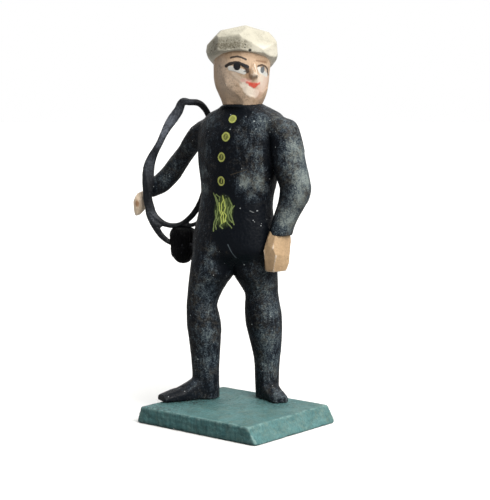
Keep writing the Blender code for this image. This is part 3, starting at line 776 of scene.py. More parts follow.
def coatMaterial():
    material, tree, place = newMaterial("coat paint", 0.45, 0.13)
    cloud = useGroup(mottle, {"Place": place, "Broad": 5.5, "Fine": 1.1})
    grit = useGroup(mottle, {"Place": place, "Broad": 1.5, "Fine": 0.42, "Seed": 3.0})
    dots = useGroup(mottle, {"Place": place, "Broad": 0.7, "Fine": 0.22, "Seed": 4.0})
    streaks = useGroup(paintStreaks, {"Place": place, "Width": 0.9, "Length": 3.5})
    edges = useGroup(rubbedEdges, {"Place": place, "Amount": 0.12, "Patch": 1.6})
    paleAndPaintedLight = attribute(tree, "paleAndPaintedLight", "Fac")
    # thin paint shows in blotches where the coat was handled most; the level also holds painted
    # highlights, the painted lit side and painted shade
    blotch = times(minus(grit["Broad"], 0.55), 0.28)
    grain = times(minus(grit["Fine"], 0.5), 0.5)
    grain = plus(grain, times(minus(dots["Fine"], 0.5), 0.65))
    drawn = times(minus(streaks["Mask"], 0.5), 0.35)
    level = plus(plus(plus(paleAndPaintedLight, blotch), grain), drawn)
    # the paler colours stand for worn paint and for painted light
    worn = ramp(level, 0.02, 0.62)
    base = blendColour(worn, coat["deep"], coat["slate"])
    base = blendColour(ramp(level, 0.40, 1.0), base, coat["paleRubbedAndLit"])
    base = blendColour(ramp(level, 0.80, 1.4), base, coat["bareAndHighlight"])
    edge = times(edges["Mask"], ramp(paleAndPaintedLight, -0.15, 0.25))
    base = blendColour(times(edge, grit["Fine"]), base, coat["paleRubbedAndLit"], 0.6)
    brown = times(times(cloud["Fine"], cloud["Broad"]), ramp(level, -0.3, 0.5))
    base = blendColour(brown, base, coat["brown"], 0.6)
    base = blendColour(edges["Recess"], base, coat["deep"], 0.5)
    dust = useGroup(flecks, {"Place": place, "Spacing": 1.2, "Size": 0.15, "Share": 0.2})
    base = blendColour(dust["Mask"], base, coat["fleck"], 0.6)

    spot = uneven(attribute(tree, "coatSpot"), 0.7, 0.19)
    for middle, half, tilt, fill in buttons["rounds"]:
        shape = useGroup(paintedOval, {"Spot": spot, "Middle": (*middle, 0), "Half": (*half, 3),
                                       "Tilt": math.radians(tilt), "Line": 0.27})
        base = blendColour(times(shape["Mask"], fill), base, buttons["paint"])
        base = blendColour(shape["Outline"], base, buttons["paint"], 0.95)
    for places in buttons["strokes"]:
        base, _ = paintLine(base, spot, places, buttons["paint"], 0.22, 0.8)
    base, bed = paintOval(base, spot, (-0.5, 51.4), (2.5, 3.7), sheaf["fill"], 0.8, softness=0.35)
    straws = useGroup(paintStreaks, {"Place": place, "Width": 0.33, "Length": 2.2, "Seed": 30.0})
    base = blendColour(times(bed, straws["Mask"]), base, sheaf["dull"], 0.65)
    for places in sheaf["outer"]:
        base, _ = paintLine(base, spot, places, sheaf["dull"], 0.31, 0.95, softness=0.07)
    for places in sheaf["middle"]:
        base, _ = paintLine(base, spot, places, sheaf["bright"], 0.30, 0.95, softness=0.07)
    for middle, half in coat["specks"]:
        base, _ = paintOval(base, spot, middle, (half, half), coat["fleck"], 0.6, softness=0.3)
    for places, colour, width in coat["scratches"]:
        base, _ = paintLine(base, spot, places, colour, width, 0.7)
    shine = ramp(grit["Fine"], 0.0, 1.0, 0.32, 0.6)
    return finishMaterial(material, base, plus(shine, times(worn, 0.08)),
                          (streaks["Height"], 0.12), (dots["Broad"], 0.05))


def makeCoat():
    bm = bmesh.new()
    addLimb(bm, coat["torso"], squareness=2.35, sides=40)
    for limb in ("rightLeg", "leftLeg", "leftArm"):
        addLimb(bm, coat[limb])
    addLimb(bm, coat["rightArm"], level=False)
    addFoot(bm, *coat["rightFoot"])
    addFoot(bm, *coat["leftFoot"])
    obj = toObject(bm, "coat")
    fuse(obj, coat["voxel"], 5)
    mesh = obj.data
    around = neighbourMean(mesh)
    points, normals = pointsOf(mesh)
    share = np.zeros(len(points))
    for x, y, z, wide, tall in coat["joints"]:
        away = (points - (x, y, z + ground)) / (wide, wide, tall)
        share = np.maximum(share, np.exp(-(away**2).sum(1) ** 2))
    for _ in range(coat["jointRounds"]):
        points += (around(points) - points) * share[:, None]
    setPoints(mesh, points)
    carveFacets(mesh, coat["facets"], coat["facetLength"], coat["facetDepth"], 3)
    points, normals = pointsOf(mesh)
    points[:, 2] = points[:, 2].clip(ground)
    setPoints(mesh, points)
    points, normals = pointsOf(mesh)
    keepProud(mesh, 14)
    turn = math.radians(coat["turn"])
    fromMiddle = points[:, :2] - coat["middle"]
    across = fromMiddle @ (math.cos(turn), math.sin(turn))
    forward = fromMiddle @ (math.sin(turn), -math.cos(turn))
    behind = np.where(forward > 0, 0, 60)  # far from every stroke, so that none shows at the back
    keepValues(mesh, "coatSpot", np.stack([across, points[:, 2] - ground, behind], 1))
    # pale spots are worn paint and painted highlights, dark spots painted shade and darker paint
    paleAndPaintedLight = np.zeros(len(points))
    for x, y, z, *spot in coat["paleSpotsAndHighlights"]:
        paleAndPaintedLight = np.maximum(paleAndPaintedLight, softSpot(points, (x, y, ground + z), *spot))
    for x, y, z, *spot in coat["shadeAndDarkPaint"]:
        paleAndPaintedLight -= softSpot(points, (x, y, ground + z), *spot)
    for middle, half in buttons["halos"]:
        away = (np.stack([across, points[:, 2] - ground], 1) - middle) / half
        paleAndPaintedLight -= coat["haloDepth"] * np.exp(-((away**2).sum(1) ** 2)) * (forward > 0)
    # painted light: the side facing the key light is made paler
    sunny = 0.5 + 0.5 * normals @ coat["towardLight"]
    keepValues(mesh, "paleAndPaintedLight", np.clip(paleAndPaintedLight + coat["paintedLitSide"] * sunny, -0.6, 1.3))
    finishPiece(obj, coatMaterial(), "figure_paint", figureNode)


makeCoat()


# the head

head = {
    "skull": [
        (-2.6, 6.3, 78.6, 5.0, 5.2, 64), (-2.5, 6.5, 80.4, 5.5, 5.9, 64),
        (-2.55, 6.4, 82.2, 6.2, 6.7, 64), (-2.75, 6.2, 84.8, 6.9, 7.4, 64),
        (-2.7, 6.2, 88.2, 7.2, 7.7, 64), (-2.6, 6.3, 91.5, 7.3, 7.5, 64),
        (-2.6, 6.3, 95.0, 6.6, 6.8, 64),
    ],
    "nose": [
        (6.6, 91.4, 0.40, 0.6), (7.0, 90.2, 0.55, 0.8), (7.4, 88.9, 0.85, 1.1), (7.8, 87.6, 1.15, 1.45),
        (7.9, 86.8, 1.25, 1.5), (7.15, 85.9, 0.85, 0.8),
    ],  # forward of the middle, height, half width, half depth
    "middle": (-2.7, 6.2),
    "turn": 64,
    "voxel": 0.18,
    "softening": 14,
    "facets": 70,
    "facetLength": 1.3,
    "facetDepth": 0.4,
    "radius": 7.4,  # of the painted face, laid out flat
    "wash": 0.14,
    # knife strokes: forward, sideways, height, then the way they face, and how far they reach
    "strokes": [
        (6.9, 0.0, 83.4, 0.97, 0.0, -0.25, 3.6),
        (5.6, 3.6, 84.2, 0.78, 0.60, -0.18, 4.4),
        (5.6, -3.6, 84.2, 0.78, -0.60, -0.18, 4.4),
        (4.3, 4.8, 81.8, 0.60, 0.62, -0.50, 4.2),
        (4.3, -4.8, 81.8, 0.60, -0.62, -0.50, 4.2),
        (1.0, 6.8, 85.5, 0.12, 0.98, -0.16, 5.0),
        (1.0, -6.8, 85.5, 0.12, -0.98, -0.16, 5.0),
        (5.1, -4.5, 83.4, 0.50, -0.70, -0.51, 5.0),
    ],
    "skin": (0.66, 0.47, 0.32),
    "shade": (0.30, 0.19, 0.11),
    "light": (0.95, 0.83, 0.70),
    "pink": (0.72, 0.42, 0.33),
    "grit": (0.16, 0.105, 0.07),
}
face = {
    "dark": (0.012, 0.012, 0.015),
    "umber": (0.045, 0.028, 0.020),
    "brown": (0.23, 0.115, 0.060),
    "white": (0.80, 0.80, 0.76),
    "iris": (0.12, 0.14, 0.16),
    "red": (0.74, 0.085, 0.055),
    "rose": (0.86, 0.50, 0.42),
}
# what is laid on the face, in order: how much the place is moved about, what it is laid with, its
# colour, its width if it is a stroke, its strength, its softness, and whether it stands up a little
faceLayers = [
    # painted light on the shaded side of the jaw, and painted shadow of the cap across the forehead
    ("washed", [(-9.4, 87.6), (-7.9, 85.4), (-5.9, 83.0), (-3.6, 81.1), (-1.4, 79.4)],
     head["light"], 4.4, 0.12, 0.5, False),
    ("spot", [(-7.0, 91.9), (-4.0, 92.9), (-1.0, 92.6), (1.6, 91.6), (4.0, 90.9)],
     head["shade"], 2.0, 0.5, 0.5, False),
    "grit",
    # cheeks, chin and the tip of the nose: painted highlights on the cheeks and on the facet round mouth
    # and chin, where the paint is also paler, then pink paint
    ("washed", ((3.9, 85.6), (2.7, 2.8)), head["light"], 0, 0.8, 0.5, False),
    ("washed", [(-5.2, 87.0), (-3.9, 85.9), (-2.7, 85.3)], head["light"], 1.8, 0.4, 0.5, False),
    ("washed", [(-2.5, 84.7), (-1.6, 83.5), (0.0, 82.4), (1.3, 82.2)],
     head["light"], 2.3, 0.9, 0.35, False),
    ("spot", ((2.6, 82.9), (1.8, 2.0)), head["pink"], 0, 0.35, 0.5, False),
    ("spot", [(-2.9, 85.6), (-1.9, 85.6), (-1.0, 85.5)], face["rose"], 1.0, 0.8, 0.3, False),
    ("spot", ((5.4, 85.2), (1.5, 2.2)), head["pink"], 0, 0.35, 0.6, False),
    # painted shade beside the nose, and under the eye along the ridge of the cheek
    ("spot", [(-1.75, 88.4), (-1.55, 87.3), (-1.2, 86.3)], face["brown"], 1.5, 0.6, 0.35, False),
    ("spot", [(-6.29, 87.3), (-4.93, 86.1), (-3.27, 84.9)], head["shade"], 0.5, 0.4, 0.2, False),
    # whites, corner and irises of the eyes
    ("spot", [(-6.1, 88.75), (-5.1, 88.55), (-3.9, 88.15), (-2.5, 87.75)],
     face["white"], 1.25, 0.9, 0.15, True),
    ("spot", [(1.5, 88.7), (2.0, 87.9), (3.6, 87.5), (5.3, 87.0)],
     face["white"], 1.1, 0.9, 0.15, False),
    ("spot", ((-2.35, 87.9), (0.25, 0.25)), face["iris"], 0, 0.7, 0.3, False),
    ("spot", ((-4.3, 89.2), (0.92, 1.05)), face["dark"], 0, 1.0, 0.12, False),
    ("spot", ((2.8, 88.33), (0.82, 0.9)), face["iris"], 0, 0.92, 0.12, False),
    ("spot", [(-2.7, 89.5), (-1.75, 88.85), (-1.7, 87.9)], face["umber"], 1.0, 0.92, 0.15, True),
    # lids and brows
    ("spot", [(-7.33, 89.28), (-6.29, 89.79), (-5.04, 90.15), (-3.88, 90.08), (-2.79, 89.58),
              (-1.6, 89.1)], face["dark"], 0.85, 0.95, 0.12, True),
    ("spot", [(1.22, 89.27), (2.44, 89.6), (3.79, 89.21), (5.08, 88.42), (6.25, 87.04)],
     face["umber"], 0.5, 0.9, 0.12, True),
    ("spot", [(-5.95, 91.42), (-5.17, 91.62), (-4.19, 91.74), (-3.13, 91.52), (-2.01, 90.97)],
     face["dark"], 0.5, 0.9, 0.12, True),
    ("spot", [(0.89, 90.64), (2.11, 90.46), (3.98, 90.29)], face["brown"], 0.5, 0.65, 0.15, False),
    # lips
    ("spot", [(-1.7, 85.1), (-0.6, 84.75), (0.3, 84.75), (1.2, 84.6), (2.1, 84.85)],
     face["red"], 0.6, 0.8, 0.2, True),
    ("spot", [(-0.9, 84.6), (-0.1, 84.25), (0.45, 83.95), (1.0, 84.35)],
     face["red"], 0.85, 0.9, 0.18, True),
]


def headDirections():
    turn = math.radians(head["turn"])
    return (np.array((math.sin(turn), -math.cos(turn), 0)),
            np.array((math.cos(turn), math.sin(turn), 0)), np.array((0, 0, 1.0)))


def skinMaterial(name, skinColour, wash, features=False):
    material, tree, place = newMaterial(name, 0.55, 0.3)
    clouds = useGroup(mottle, {"Place": place, "Broad": 3.0, "Fine": 0.45, "Seed": 2.0})
    grain = useGroup(mottle, {"Place": place, "Broad": 1.3, "Fine": 0.38, "Seed": 7.0})
    edges = useGroup(rubbedEdges, {"Place": place, "Amount": 0.25, "Patch": 0.9, "Seed": 1.0})
    streaks = useGroup(paintStreaks, {"Place": place, "Width": 0.5, "Length": 3.0, "Seed": 4.0})
    base = blendColour(clouds["Broad"], skinColour, head["shade"], wash)
    base = blendColour(streaks["Mask"], base, head["shade"], wash)
    base = blendColour(edges["Recess"], base, head["shade"], wash * 2)
    base = blendColour(edges["Mask"], base, head["light"], 0.6)
    raised = clouds["Fine"]
    if features:
        base, raised = paintFace(tree, base, grain)
    else:
        base = blendColour(times(grain["Fine"], grain["Broad"]), base, head["grit"], wash * 1.5)
        for mark in hands["marks"]:
            base = dab(place, base, *mark)
        dirt = useGroup(flecks, {"Place": place, "Spacing": 1.6, "Size": 0.16, "Share": 0.2})
        base = blendColour(dirt["Mask"], base, head["grit"], 0.5)
    return finishMaterial(material, base, ramp(clouds["Fine"], 0.0, 1.0, 0.46, 0.62),
                          (streaks["Height"], 0.08), (grain["Fine"], 0.02), (raised, 0.04))


def paintFace(tree, base, grain):
    spots = {"spot": uneven(attribute(tree, "faceSpot"), 0.8, 0.13),
             "washed": uneven(attribute(tree, "faceSpot"), 1.6, 0.5)}
    # painted light on the shaded side of the face
    base, _ = paintOval(base, spots["washed"], (-8.6, 86.4), (3.4, 5.4), head["light"], 0.22, 0.5)
    side = raised = None
    for layer in faceLayers:
        if layer == "grit":  # old paint has gone gritty where it is brown
            grit = times(grain["Fine"], plus(times(side, 0.5), 0.5))
            base = blendColour(times(grit, plus(grain["Broad"], 0.3)), base, head["grit"], 0.45)
            continue
        spot, places, colour, width, strength, softness, stands = layer
        if width:
            base, mask = paintLine(base, spots[spot], places, colour, width, strength, softness)
        else:
            base, mask = paintOval(base, spots[spot], *places, colour, strength, softness)
        side = side or mask
        if stands:
            raised = calc("MAXIMUM", raised, mask) if raised else mask
    return base, raised


def makeHead():
    ahead, aside, up = headDirections()
    middle = np.array((*head["middle"], ground))
    bm = bmesh.new()
    addLimb(bm, head["skull"], squareness=2.2, sides=40)
    obj = toObject(bm, "head")
    fuse(obj, head["voxel"], 4)
    points, normals = pointsOf(obj.data)
    for forward, sideways, height, onAhead, onAside, onUp, reach in head["strokes"]:
        knifeStroke(points, normals, middle + ahead * forward + aside * sideways + up * height,
                    ahead * onAhead + aside * onAside + up * onUp, reach)
    around = neighbourMean(obj.data)
    for _ in range(head["softening"]):
        points = around(points)
    setPoints(obj.data, points)
    bm = bmesh.new()
    bm.from_mesh(obj.data)
    rings = []
    for forward, height, halfWidth, halfDepth in curveThrough(head["nose"], 3):
        centre = middle + ahead * forward + up * height
        rings.append([Vector(centre + aside * a - ahead * d) * mm
                      for a, d in oval(halfWidth, halfDepth, 1.3, 16)])
    skin(bm, rings)
    bmesh.ops.recalc_face_normals(bm, faces=bm.faces[:])
    bm.to_mesh(obj.data)
    bm.free()
    fuse(obj, head["voxel"], 1)
    mesh = obj.data
    carveFacets(mesh, head["facets"], head["facetLength"], head["facetDepth"], 5)
    keepProud(mesh, 16)
    points, _ = pointsOf(mesh)
    offset = points - middle
    across = np.arctan2(offset @ aside, offset @ ahead) * head["radius"]
    keepValues(mesh, "faceSpot", np.stack([across, offset[:, 2], np.zeros(len(points))], 1))
    painted = skinMaterial("painted face", head["skin"], head["wash"], features=True)
    finishPiece(obj, painted, "figure_paint", figureNode)


makeHead()


# the hands

hands = {
    "left": {"stations": [
        (10.1, 6.7, 47.0, 2.0, 2.6, 0), (9.8, 6.5, 45.0, 2.2, 3.1, 0), (9.5, 6.3, 42.5, 2.3, 3.5, 0),
        (9.35, 6.2, 39.8, 2.3, 3.6, 0), (9.3, 6.1, 37.2, 2.1, 3.4, 0), (9.2, 6.0, 35.8, 1.7, 3.0, 0),
    ], "squareness": 3.6, "facets": 26, "flatness": 0.8, "skin": (0.64, 0.44, 0.255), "wash": 0.16},
    # the right hand's skin is much paler than the left's and washed less: painted light where the coil and
    # the body shade it
    "right": {"stations": [
        (-35.2, 3.0, 55.0, 1.0, 1.2, 40.2), (-35.8, 2.4, 54.1, 1.5, 2.0, 40.2),
        (-36.1, 2.1, 52.6, 1.75, 2.4, 40.2), (-36.2, 2.0, 50.8, 1.75, 2.3, 40.2),
        (-36.5, 1.9, 49.5, 1.4, 1.8, 40.2), (-36.7, 1.7, 48.3, 0.7, 1.0, 40.2),
    ], "squareness": 2.4, "facets": 14, "flatness": 0.5, "skin": (1.0, 0.80, 0.60), "wash": 0.03},
    # a brown spot on the right hand, and painted shade under the left: middle, half size, colour, strength
    "marks": [((-35.3, 0.0, 56.6), (0.65, 0.65, 0.9), (0.45, 0.20, 0.07), 0.8),
              ((8.6, 3.6, 41.0), (3.4, 3.4, 3.2), (0.30, 0.19, 0.11), 0.3)],
    "voxel": 0.2,
    "facetLength": 2.0,
    # knife cuts on the left hand: the way each faces, and its distance from the middle
    "middle": (9.45, 6.2, 41.0),
    "cuts": [((0.80, -0.58, 0.10), 3.15), ((0.20, -0.97, -0.12), 3.25), ((0.95, -0.1, -0.3), 2.35),
             ((-0.80, -0.55, 0.0), 3.2), ((0.1, -0.75, -0.65), 5.0)],
}


def makeHands():
    for name in ("left", "right"):
        hand = hands[name]
        bm = bmesh.new()
        addLimb(bm, hand["stations"], squareness=hand["squareness"])
        if name == "left":
            for facing, distance in hands["cuts"]:
                cutFlat(bm, hands["middle"], Vector(facing).normalized(), distance)
        obj = toObject(bm, name + "Hand")
        fuse(obj, hands["voxel"], 2)
        carveFacets(obj.data, hand["facets"], hands["facetLength"], hand["flatness"], 7)
        keepProud(obj.data, 12)
        skinned = skinMaterial(name + " hand skin", hand["skin"], hand["wash"])
        finishPiece(obj, skinned, "figure_paint", figureNode)


makeHands()


# the cap

cap = {
    "middle": (-2.6, 6.3, 89.6),
    "profile": [
        (6.8, 0.0), (8.1, 0.8), (9.1, 1.9), (9.65, 3.3), (9.7, 5.2), (9.1, 7.4), (7.7, 9.2),
        (5.2, 10.5), (2.6, 11.0),
    ],
    "frontRise": 3.4,  # the rim is pushed up over the forehead
    "waveLength": 1.6, "waveDepth": 0.05,
    "dirtiest": 12,  # towards this angle in plan
    "riseTurn": 32,
    # each knife cut: direction in plan, upward tilt, distance from the middle
    "cuts": [
        (-64, 10, 9.45), (-20, 4, 8.95), (20, 3, 8.3), (58, 2, 8.1), (96, 8, 8.75), (136, 4, 9.4),
        (178, 6, 9.1), (-142, 4, 9.2), (-102, 7, 9.4), (-46, 44, 10.3), (12, 50, 10.85), (84, 38, 9.1),
        (122, 42, 10.8), (178, 46, 10.7), (-120, 44, 10.9), (-40, 78, 10.0), (110, 74, 9.95),
        (20, 68, 10.2),
    ],
    "voxel": 0.22,
    "cream": (0.57, 0.54, 0.44),
    # painted light: pale cream for the rim's shaded underside and the band's shaded ends
    "paintedRimLight": (0.98, 0.93, 0.80),
    "grime": (0.15, 0.13, 0.085),
    "dirt": (0.045, 0.042, 0.035),
    # a black speck on the rim, over the brow
    "speck": ((3.9, 1.7, 98.25), (0.42, 0.42, 0.36), (0.004, 0.004, 0.004), 0.95),
}


def capMaterial():
    material, tree, place = newMaterial("cap paint", 0.62, 0.3)
    clouds = useGroup(mottle, {"Place": place, "Broad": 2.6, "Fine": 0.5, "Seed": 5.0})
    grain = useGroup(mottle, {"Place": place, "Broad": 1.2, "Fine": 0.4, "Seed": 6.0})
    edges = useGroup(rubbedEdges, {"Place": place, "Amount": 0.30, "Patch": 0.8, "Seed": 3.0})
    low = attribute(tree, "dirtAndPaintedLight", "Fac")
    grit = plus(times(grain["Fine"], 0.75), times(clouds["Fine"], 0.4))
    soil = times(low, plus(grit, 0.22), clamp=True)
    base = blendColour(times(clouds["Broad"], grain["Fine"]), cap["cream"], cap["grime"], 0.36)
    base = blendColour(soil, base, cap["grime"], 0.85)
    # painted light where the rim's underside and the band's ends lie in shade
    base = blendColour(ramp(low, 0.0, -1.0), base, cap["paintedRimLight"], 0.9)
    base = blendColour(edges["Recess"], base, cap["grime"], 0.35)
    base = blendColour(edges["Mask"], base, cap["cream"], 0.5)
    specks = useGroup(flecks, {"Place": place, "Spacing": 0.75, "Size": 0.19, "Share": 0.45})
    base = blendColour(times(specks["Mask"], plus(low, 0.25)), base, cap["dirt"], 0.7)
    base = dab(place, base, *cap["speck"])
    return finishMaterial(material, base, ramp(clouds["Fine"], 0.0, 1.0, 0.52, 0.72),
                          (grain["Fine"], 0.03), (clouds["Broad"], 0.05))


def makeCap():
    turn = math.radians(cap["riseTurn"])
    bm = bmesh.new()
    rings = []
    top = cap["profile"][-1][1]
    for radius, height in cap["profile"]:
        rise = cap["frontRise"] * (1 - height / top) ** 2
        ring = []
        for a, d in oval(radius, radius, 2, 48):
            forward = (a * math.sin(turn) - d * math.cos(turn)) / radius
            x, y, z = cap["middle"]
            ring.append(placed(x + a, y + d, z + height + rise * forward))
        rings.append(ring)
    skin(bm, rings)
    for direction, tilt, distance in cap["cuts"]:
        cutFlat(bm, cap["middle"], directionOf(direction, tilt), distance)
    obj = toObject(bm, "cap")
    fuse(obj, cap["voxel"], 2)
    mesh = obj.data
    points, normals = pointsOf(mesh)
    setPoints(mesh, roughen(points, normals, cap["waveLength"], -cap["waveDepth"]))
    keepProud(mesh, 14)
    points, normals = pointsOf(mesh)
    height = points[:, 2] - ground - cap["middle"][2]
    # dirt lies on the band, less near its lower edge, and most of it to the front
    dirtAndPaintedLight = np.clip((7.4 - height) / 2.0, 0, 1) * np.clip(1.3 - normals[:, 2] * 2.2, 0, 1)
    dirtAndPaintedLight *= np.clip((height - 0.4) / 2.2, 0.35, 1)
    plan = np.degrees(np.arctan2(points[:, 0] - cap["middle"][0], cap["middle"][1] - points[:, 1]))
    rise = cap["frontRise"] * np.cos(np.radians(plan - cap["riseTurn"]))
    dirtAndPaintedLight *= np.clip(1.9 - np.abs(plan - cap["dirtiest"]) / 33, 0.15, 1)
    # painted light, pale cream, below the band's edge where the rim's underside lies in shade, and at both
    # ends of the band, more at the left end
    under = np.clip((1.5 - height + 0.85 * rise) / 1.1, 0, 1)
    paintedRimLight = 0.8 * np.clip((-plan - 28) / 16, 0, 1) + 0.5 * np.clip((plan - 48) / 14, 0, 1)
    paintedRimLight *= np.clip((6.5 - height) / 2.0, 0, 1)
    keepValues(mesh, "dirtAndPaintedLight", dirtAndPaintedLight * (1 - under) - np.maximum(under, paintedRimLight))
    finishPiece(obj, capMaterial(), "figure_paint", figureNode)


makeCap()


# the plinth

plinth = {
    "length": 36.9, "depth": 33.9, "thickness": 4.6,
    "slopeNear": 2.8, "slopeFar": 1.5,  # how far the sawn ends lean out
    "voxel": 0.3,
    "wear": 0.5,
    "waveLength": 2.5, "lost": 0.35, "wobble": 0.05,  # how unevenly the edges and faces are worn
    "sawDepth": 0.03, "sawMarks": 4,  # marks across the sawn edges, so many radians to a millimetre
    "footReach": 6.0,
    "teal": (0.099, 0.236, 0.234),
    "deepTeal": (0.034, 0.108, 0.115),
    "paleTeal": (0.22, 0.35, 0.325),
    "ochre": (0.26, 0.26, 0.13),
    "dark": (0.022, 0.026, 0.024),
    "chip": (0.75, 0.74, 0.68),
    "feet": [(-14.0, -4.0), (-10.0, 0.0), (6.0, 9.0)],  # the top is darker round the shoes: dirt, and the shoes' painted shade
}


def plinthMaterial():
    material, tree, place = newMaterial("plinth paint", 0.6, 0.35)
    clouds = useGroup(mottle, {"Place": place, "Broad": 5.0, "Fine": 0.6, "Seed": 8.0})
    edges = useGroup(rubbedEdges, {"Place": place, "Amount": 0.25, "Patch": 1.4, "Seed": 6.0})
    streaks = useGroup(paintStreaks, {"Place": place, "Width": 0.7, "Length": 3.5, "Seed": 9.0})
    base = blendColour(clouds["Broad"], plinth["teal"], plinth["deepTeal"], 0.5)
    base = blendColour(streaks["Mask"], base, plinth["deepTeal"], 0.35)
    patch = useGroup(mottle, {"Place": place, "Broad": 3.5, "Fine": 1.0, "Seed": 14.0})
    base = blendColour(times(patch["Broad"], clouds["Fine"]), base, plinth["paleTeal"], 0.5)
    base = blendColour(times(patch["Fine"], clouds["Broad"]), base, plinth["ochre"], 0.22)
    base = blendColour(edges["Mask"], base, plinth["paleTeal"], 0.75)
    base = blendColour(edges["Recess"], base, plinth["deepTeal"], 0.5)
    specks = useGroup(flecks, {"Place": place, "Spacing": 0.85, "Size": 0.36, "Share": 0.7})
    # darker round the shoes: dirt, and the shoes' painted shade
    onTop = attribute(tree, "feetDirtAndShade", "Fac")
    grain = useGroup(mottle, {"Place": place, "Broad": 1.0, "Fine": 0.42, "Seed": 15.0})
    base = blendColour(times(grain["Fine"], onTop), base, plinth["deepTeal"], 0.75)
    base = blendColour(times(ramp(clouds["Fine"], -0.4, 1.0), onTop), base,
                       plinth["deepTeal"], 0.5)
    crumbs = calc("MAXIMUM", specks["Mask"], ramp(grain["Fine"], 0.55, 0.9))
    crumbs = times(crumbs, calc("POWER", onTop, 1.6))
    base = blendColour(crumbs, base, plinth["dark"], 0.85)
    # painted shade on the front side and along the bottom edge
    shaded = attribute(tree, "paintedShadeFrontAndBottom", "Fac")
    base = blendColour(times(shaded, plus(streaks["Mask"], 0.4), clamp=True),
                       base, plinth["deepTeal"], 0.75)
    chips = useGroup(flecks, {"Place": place, "Spacing": 7.0, "Size": 0.35, "Share": 0.3})
    base = blendColour(chips["Mask"], base, plinth["chip"], 0.7)
    return finishMaterial(material, base, ramp(clouds["Fine"], 0.0, 1.0, 0.5, 0.72),
                          (streaks["Height"], 0.10), (clouds["Fine"], 0.04))


def makePlinth():
    halfLength, halfDepth = plinth["length"] / 2, plinth["depth"] / 2
    bm = bmesh.new()
    bmesh.ops.create_cube(bm, size=1)
    for vert in bm.verts:
        slope = plinth["slopeNear"] if vert.co.x > 0 else plinth["slopeFar"]
        lean = slope if vert.co.z < 0 else 0
        vert.co = Vector((math.copysign(halfLength + lean, vert.co.x),
                          math.copysign(halfDepth, vert.co.y),
                          plinth["thickness"] if vert.co.z > 0 else 0)) * mm
    bmesh.ops.bevel(bm, geom=bm.edges[:], offset=plinth["wear"] * mm, segments=2, profile=0.5,
                    affect="EDGES")
    obj = toObject(bm, "plinthBoard")
    fuse(obj, plinth["voxel"], 2)
    mesh = obj.data
    points, normals = pointsOf(mesh)
    wobble = np.array([noise.noise(Vector(p / plinth["waveLength"])) for p in points])
    # the board only loses wood, and its flat top and underside lose least
    inward = np.clip(wobble - 0.1, 0, 1) * plinth["lost"] * (np.abs(normals[:, 2]) < 0.95)
    marks = 1 + np.sin(points[:, 2] * plinth["sawMarks"] + wobble * 3)
    saw = plinth["sawDepth"] * marks * (np.abs(normals[:, 2]) < 0.7)
    points -= normals * (inward + plinth["wobble"] * np.abs(wobble) + saw)[:, None]
    points[:, 2] = points[:, 2].clip(0)
    setPoints(mesh, points)
    keepProud(mesh, 16)
    points, normals = pointsOf(mesh)
    # the top is darker towards its front corner and round the shoes: dirt, and the shoes' painted shade
    front = np.clip((-points[:, 1] - 4) / 12, 0, 1) * np.clip((4 - points[:, 0]) / 16, 0, 1)
    feet = sum(np.exp(-(((points[:, :2] - foot) / plinth["footReach"]) ** 2).sum(1))
               for foot in plinth["feet"])
    feetDirtAndShade = np.clip(0.25 + 0.6 * front + 0.7 * feet, 0, 1.2)
    keepValues(mesh, "feetDirtAndShade", np.where(normals[:, 2] > 0.7, feetDirtAndShade, 0.3))
    # painted shade on the front side, and darker along the bottom edge
    bottom = np.clip(1 - points[:, 2] / 0.7, 0, 1)
    keepValues(mesh, "paintedShadeFrontAndBottom", np.clip((normals[:, 1] < -0.6) * 0.75 + bottom, 0, 1))
    finishPiece(obj, plinthMaterial(), "plinth_paint", plinthNode)


makePlinth()


# the coil of rope

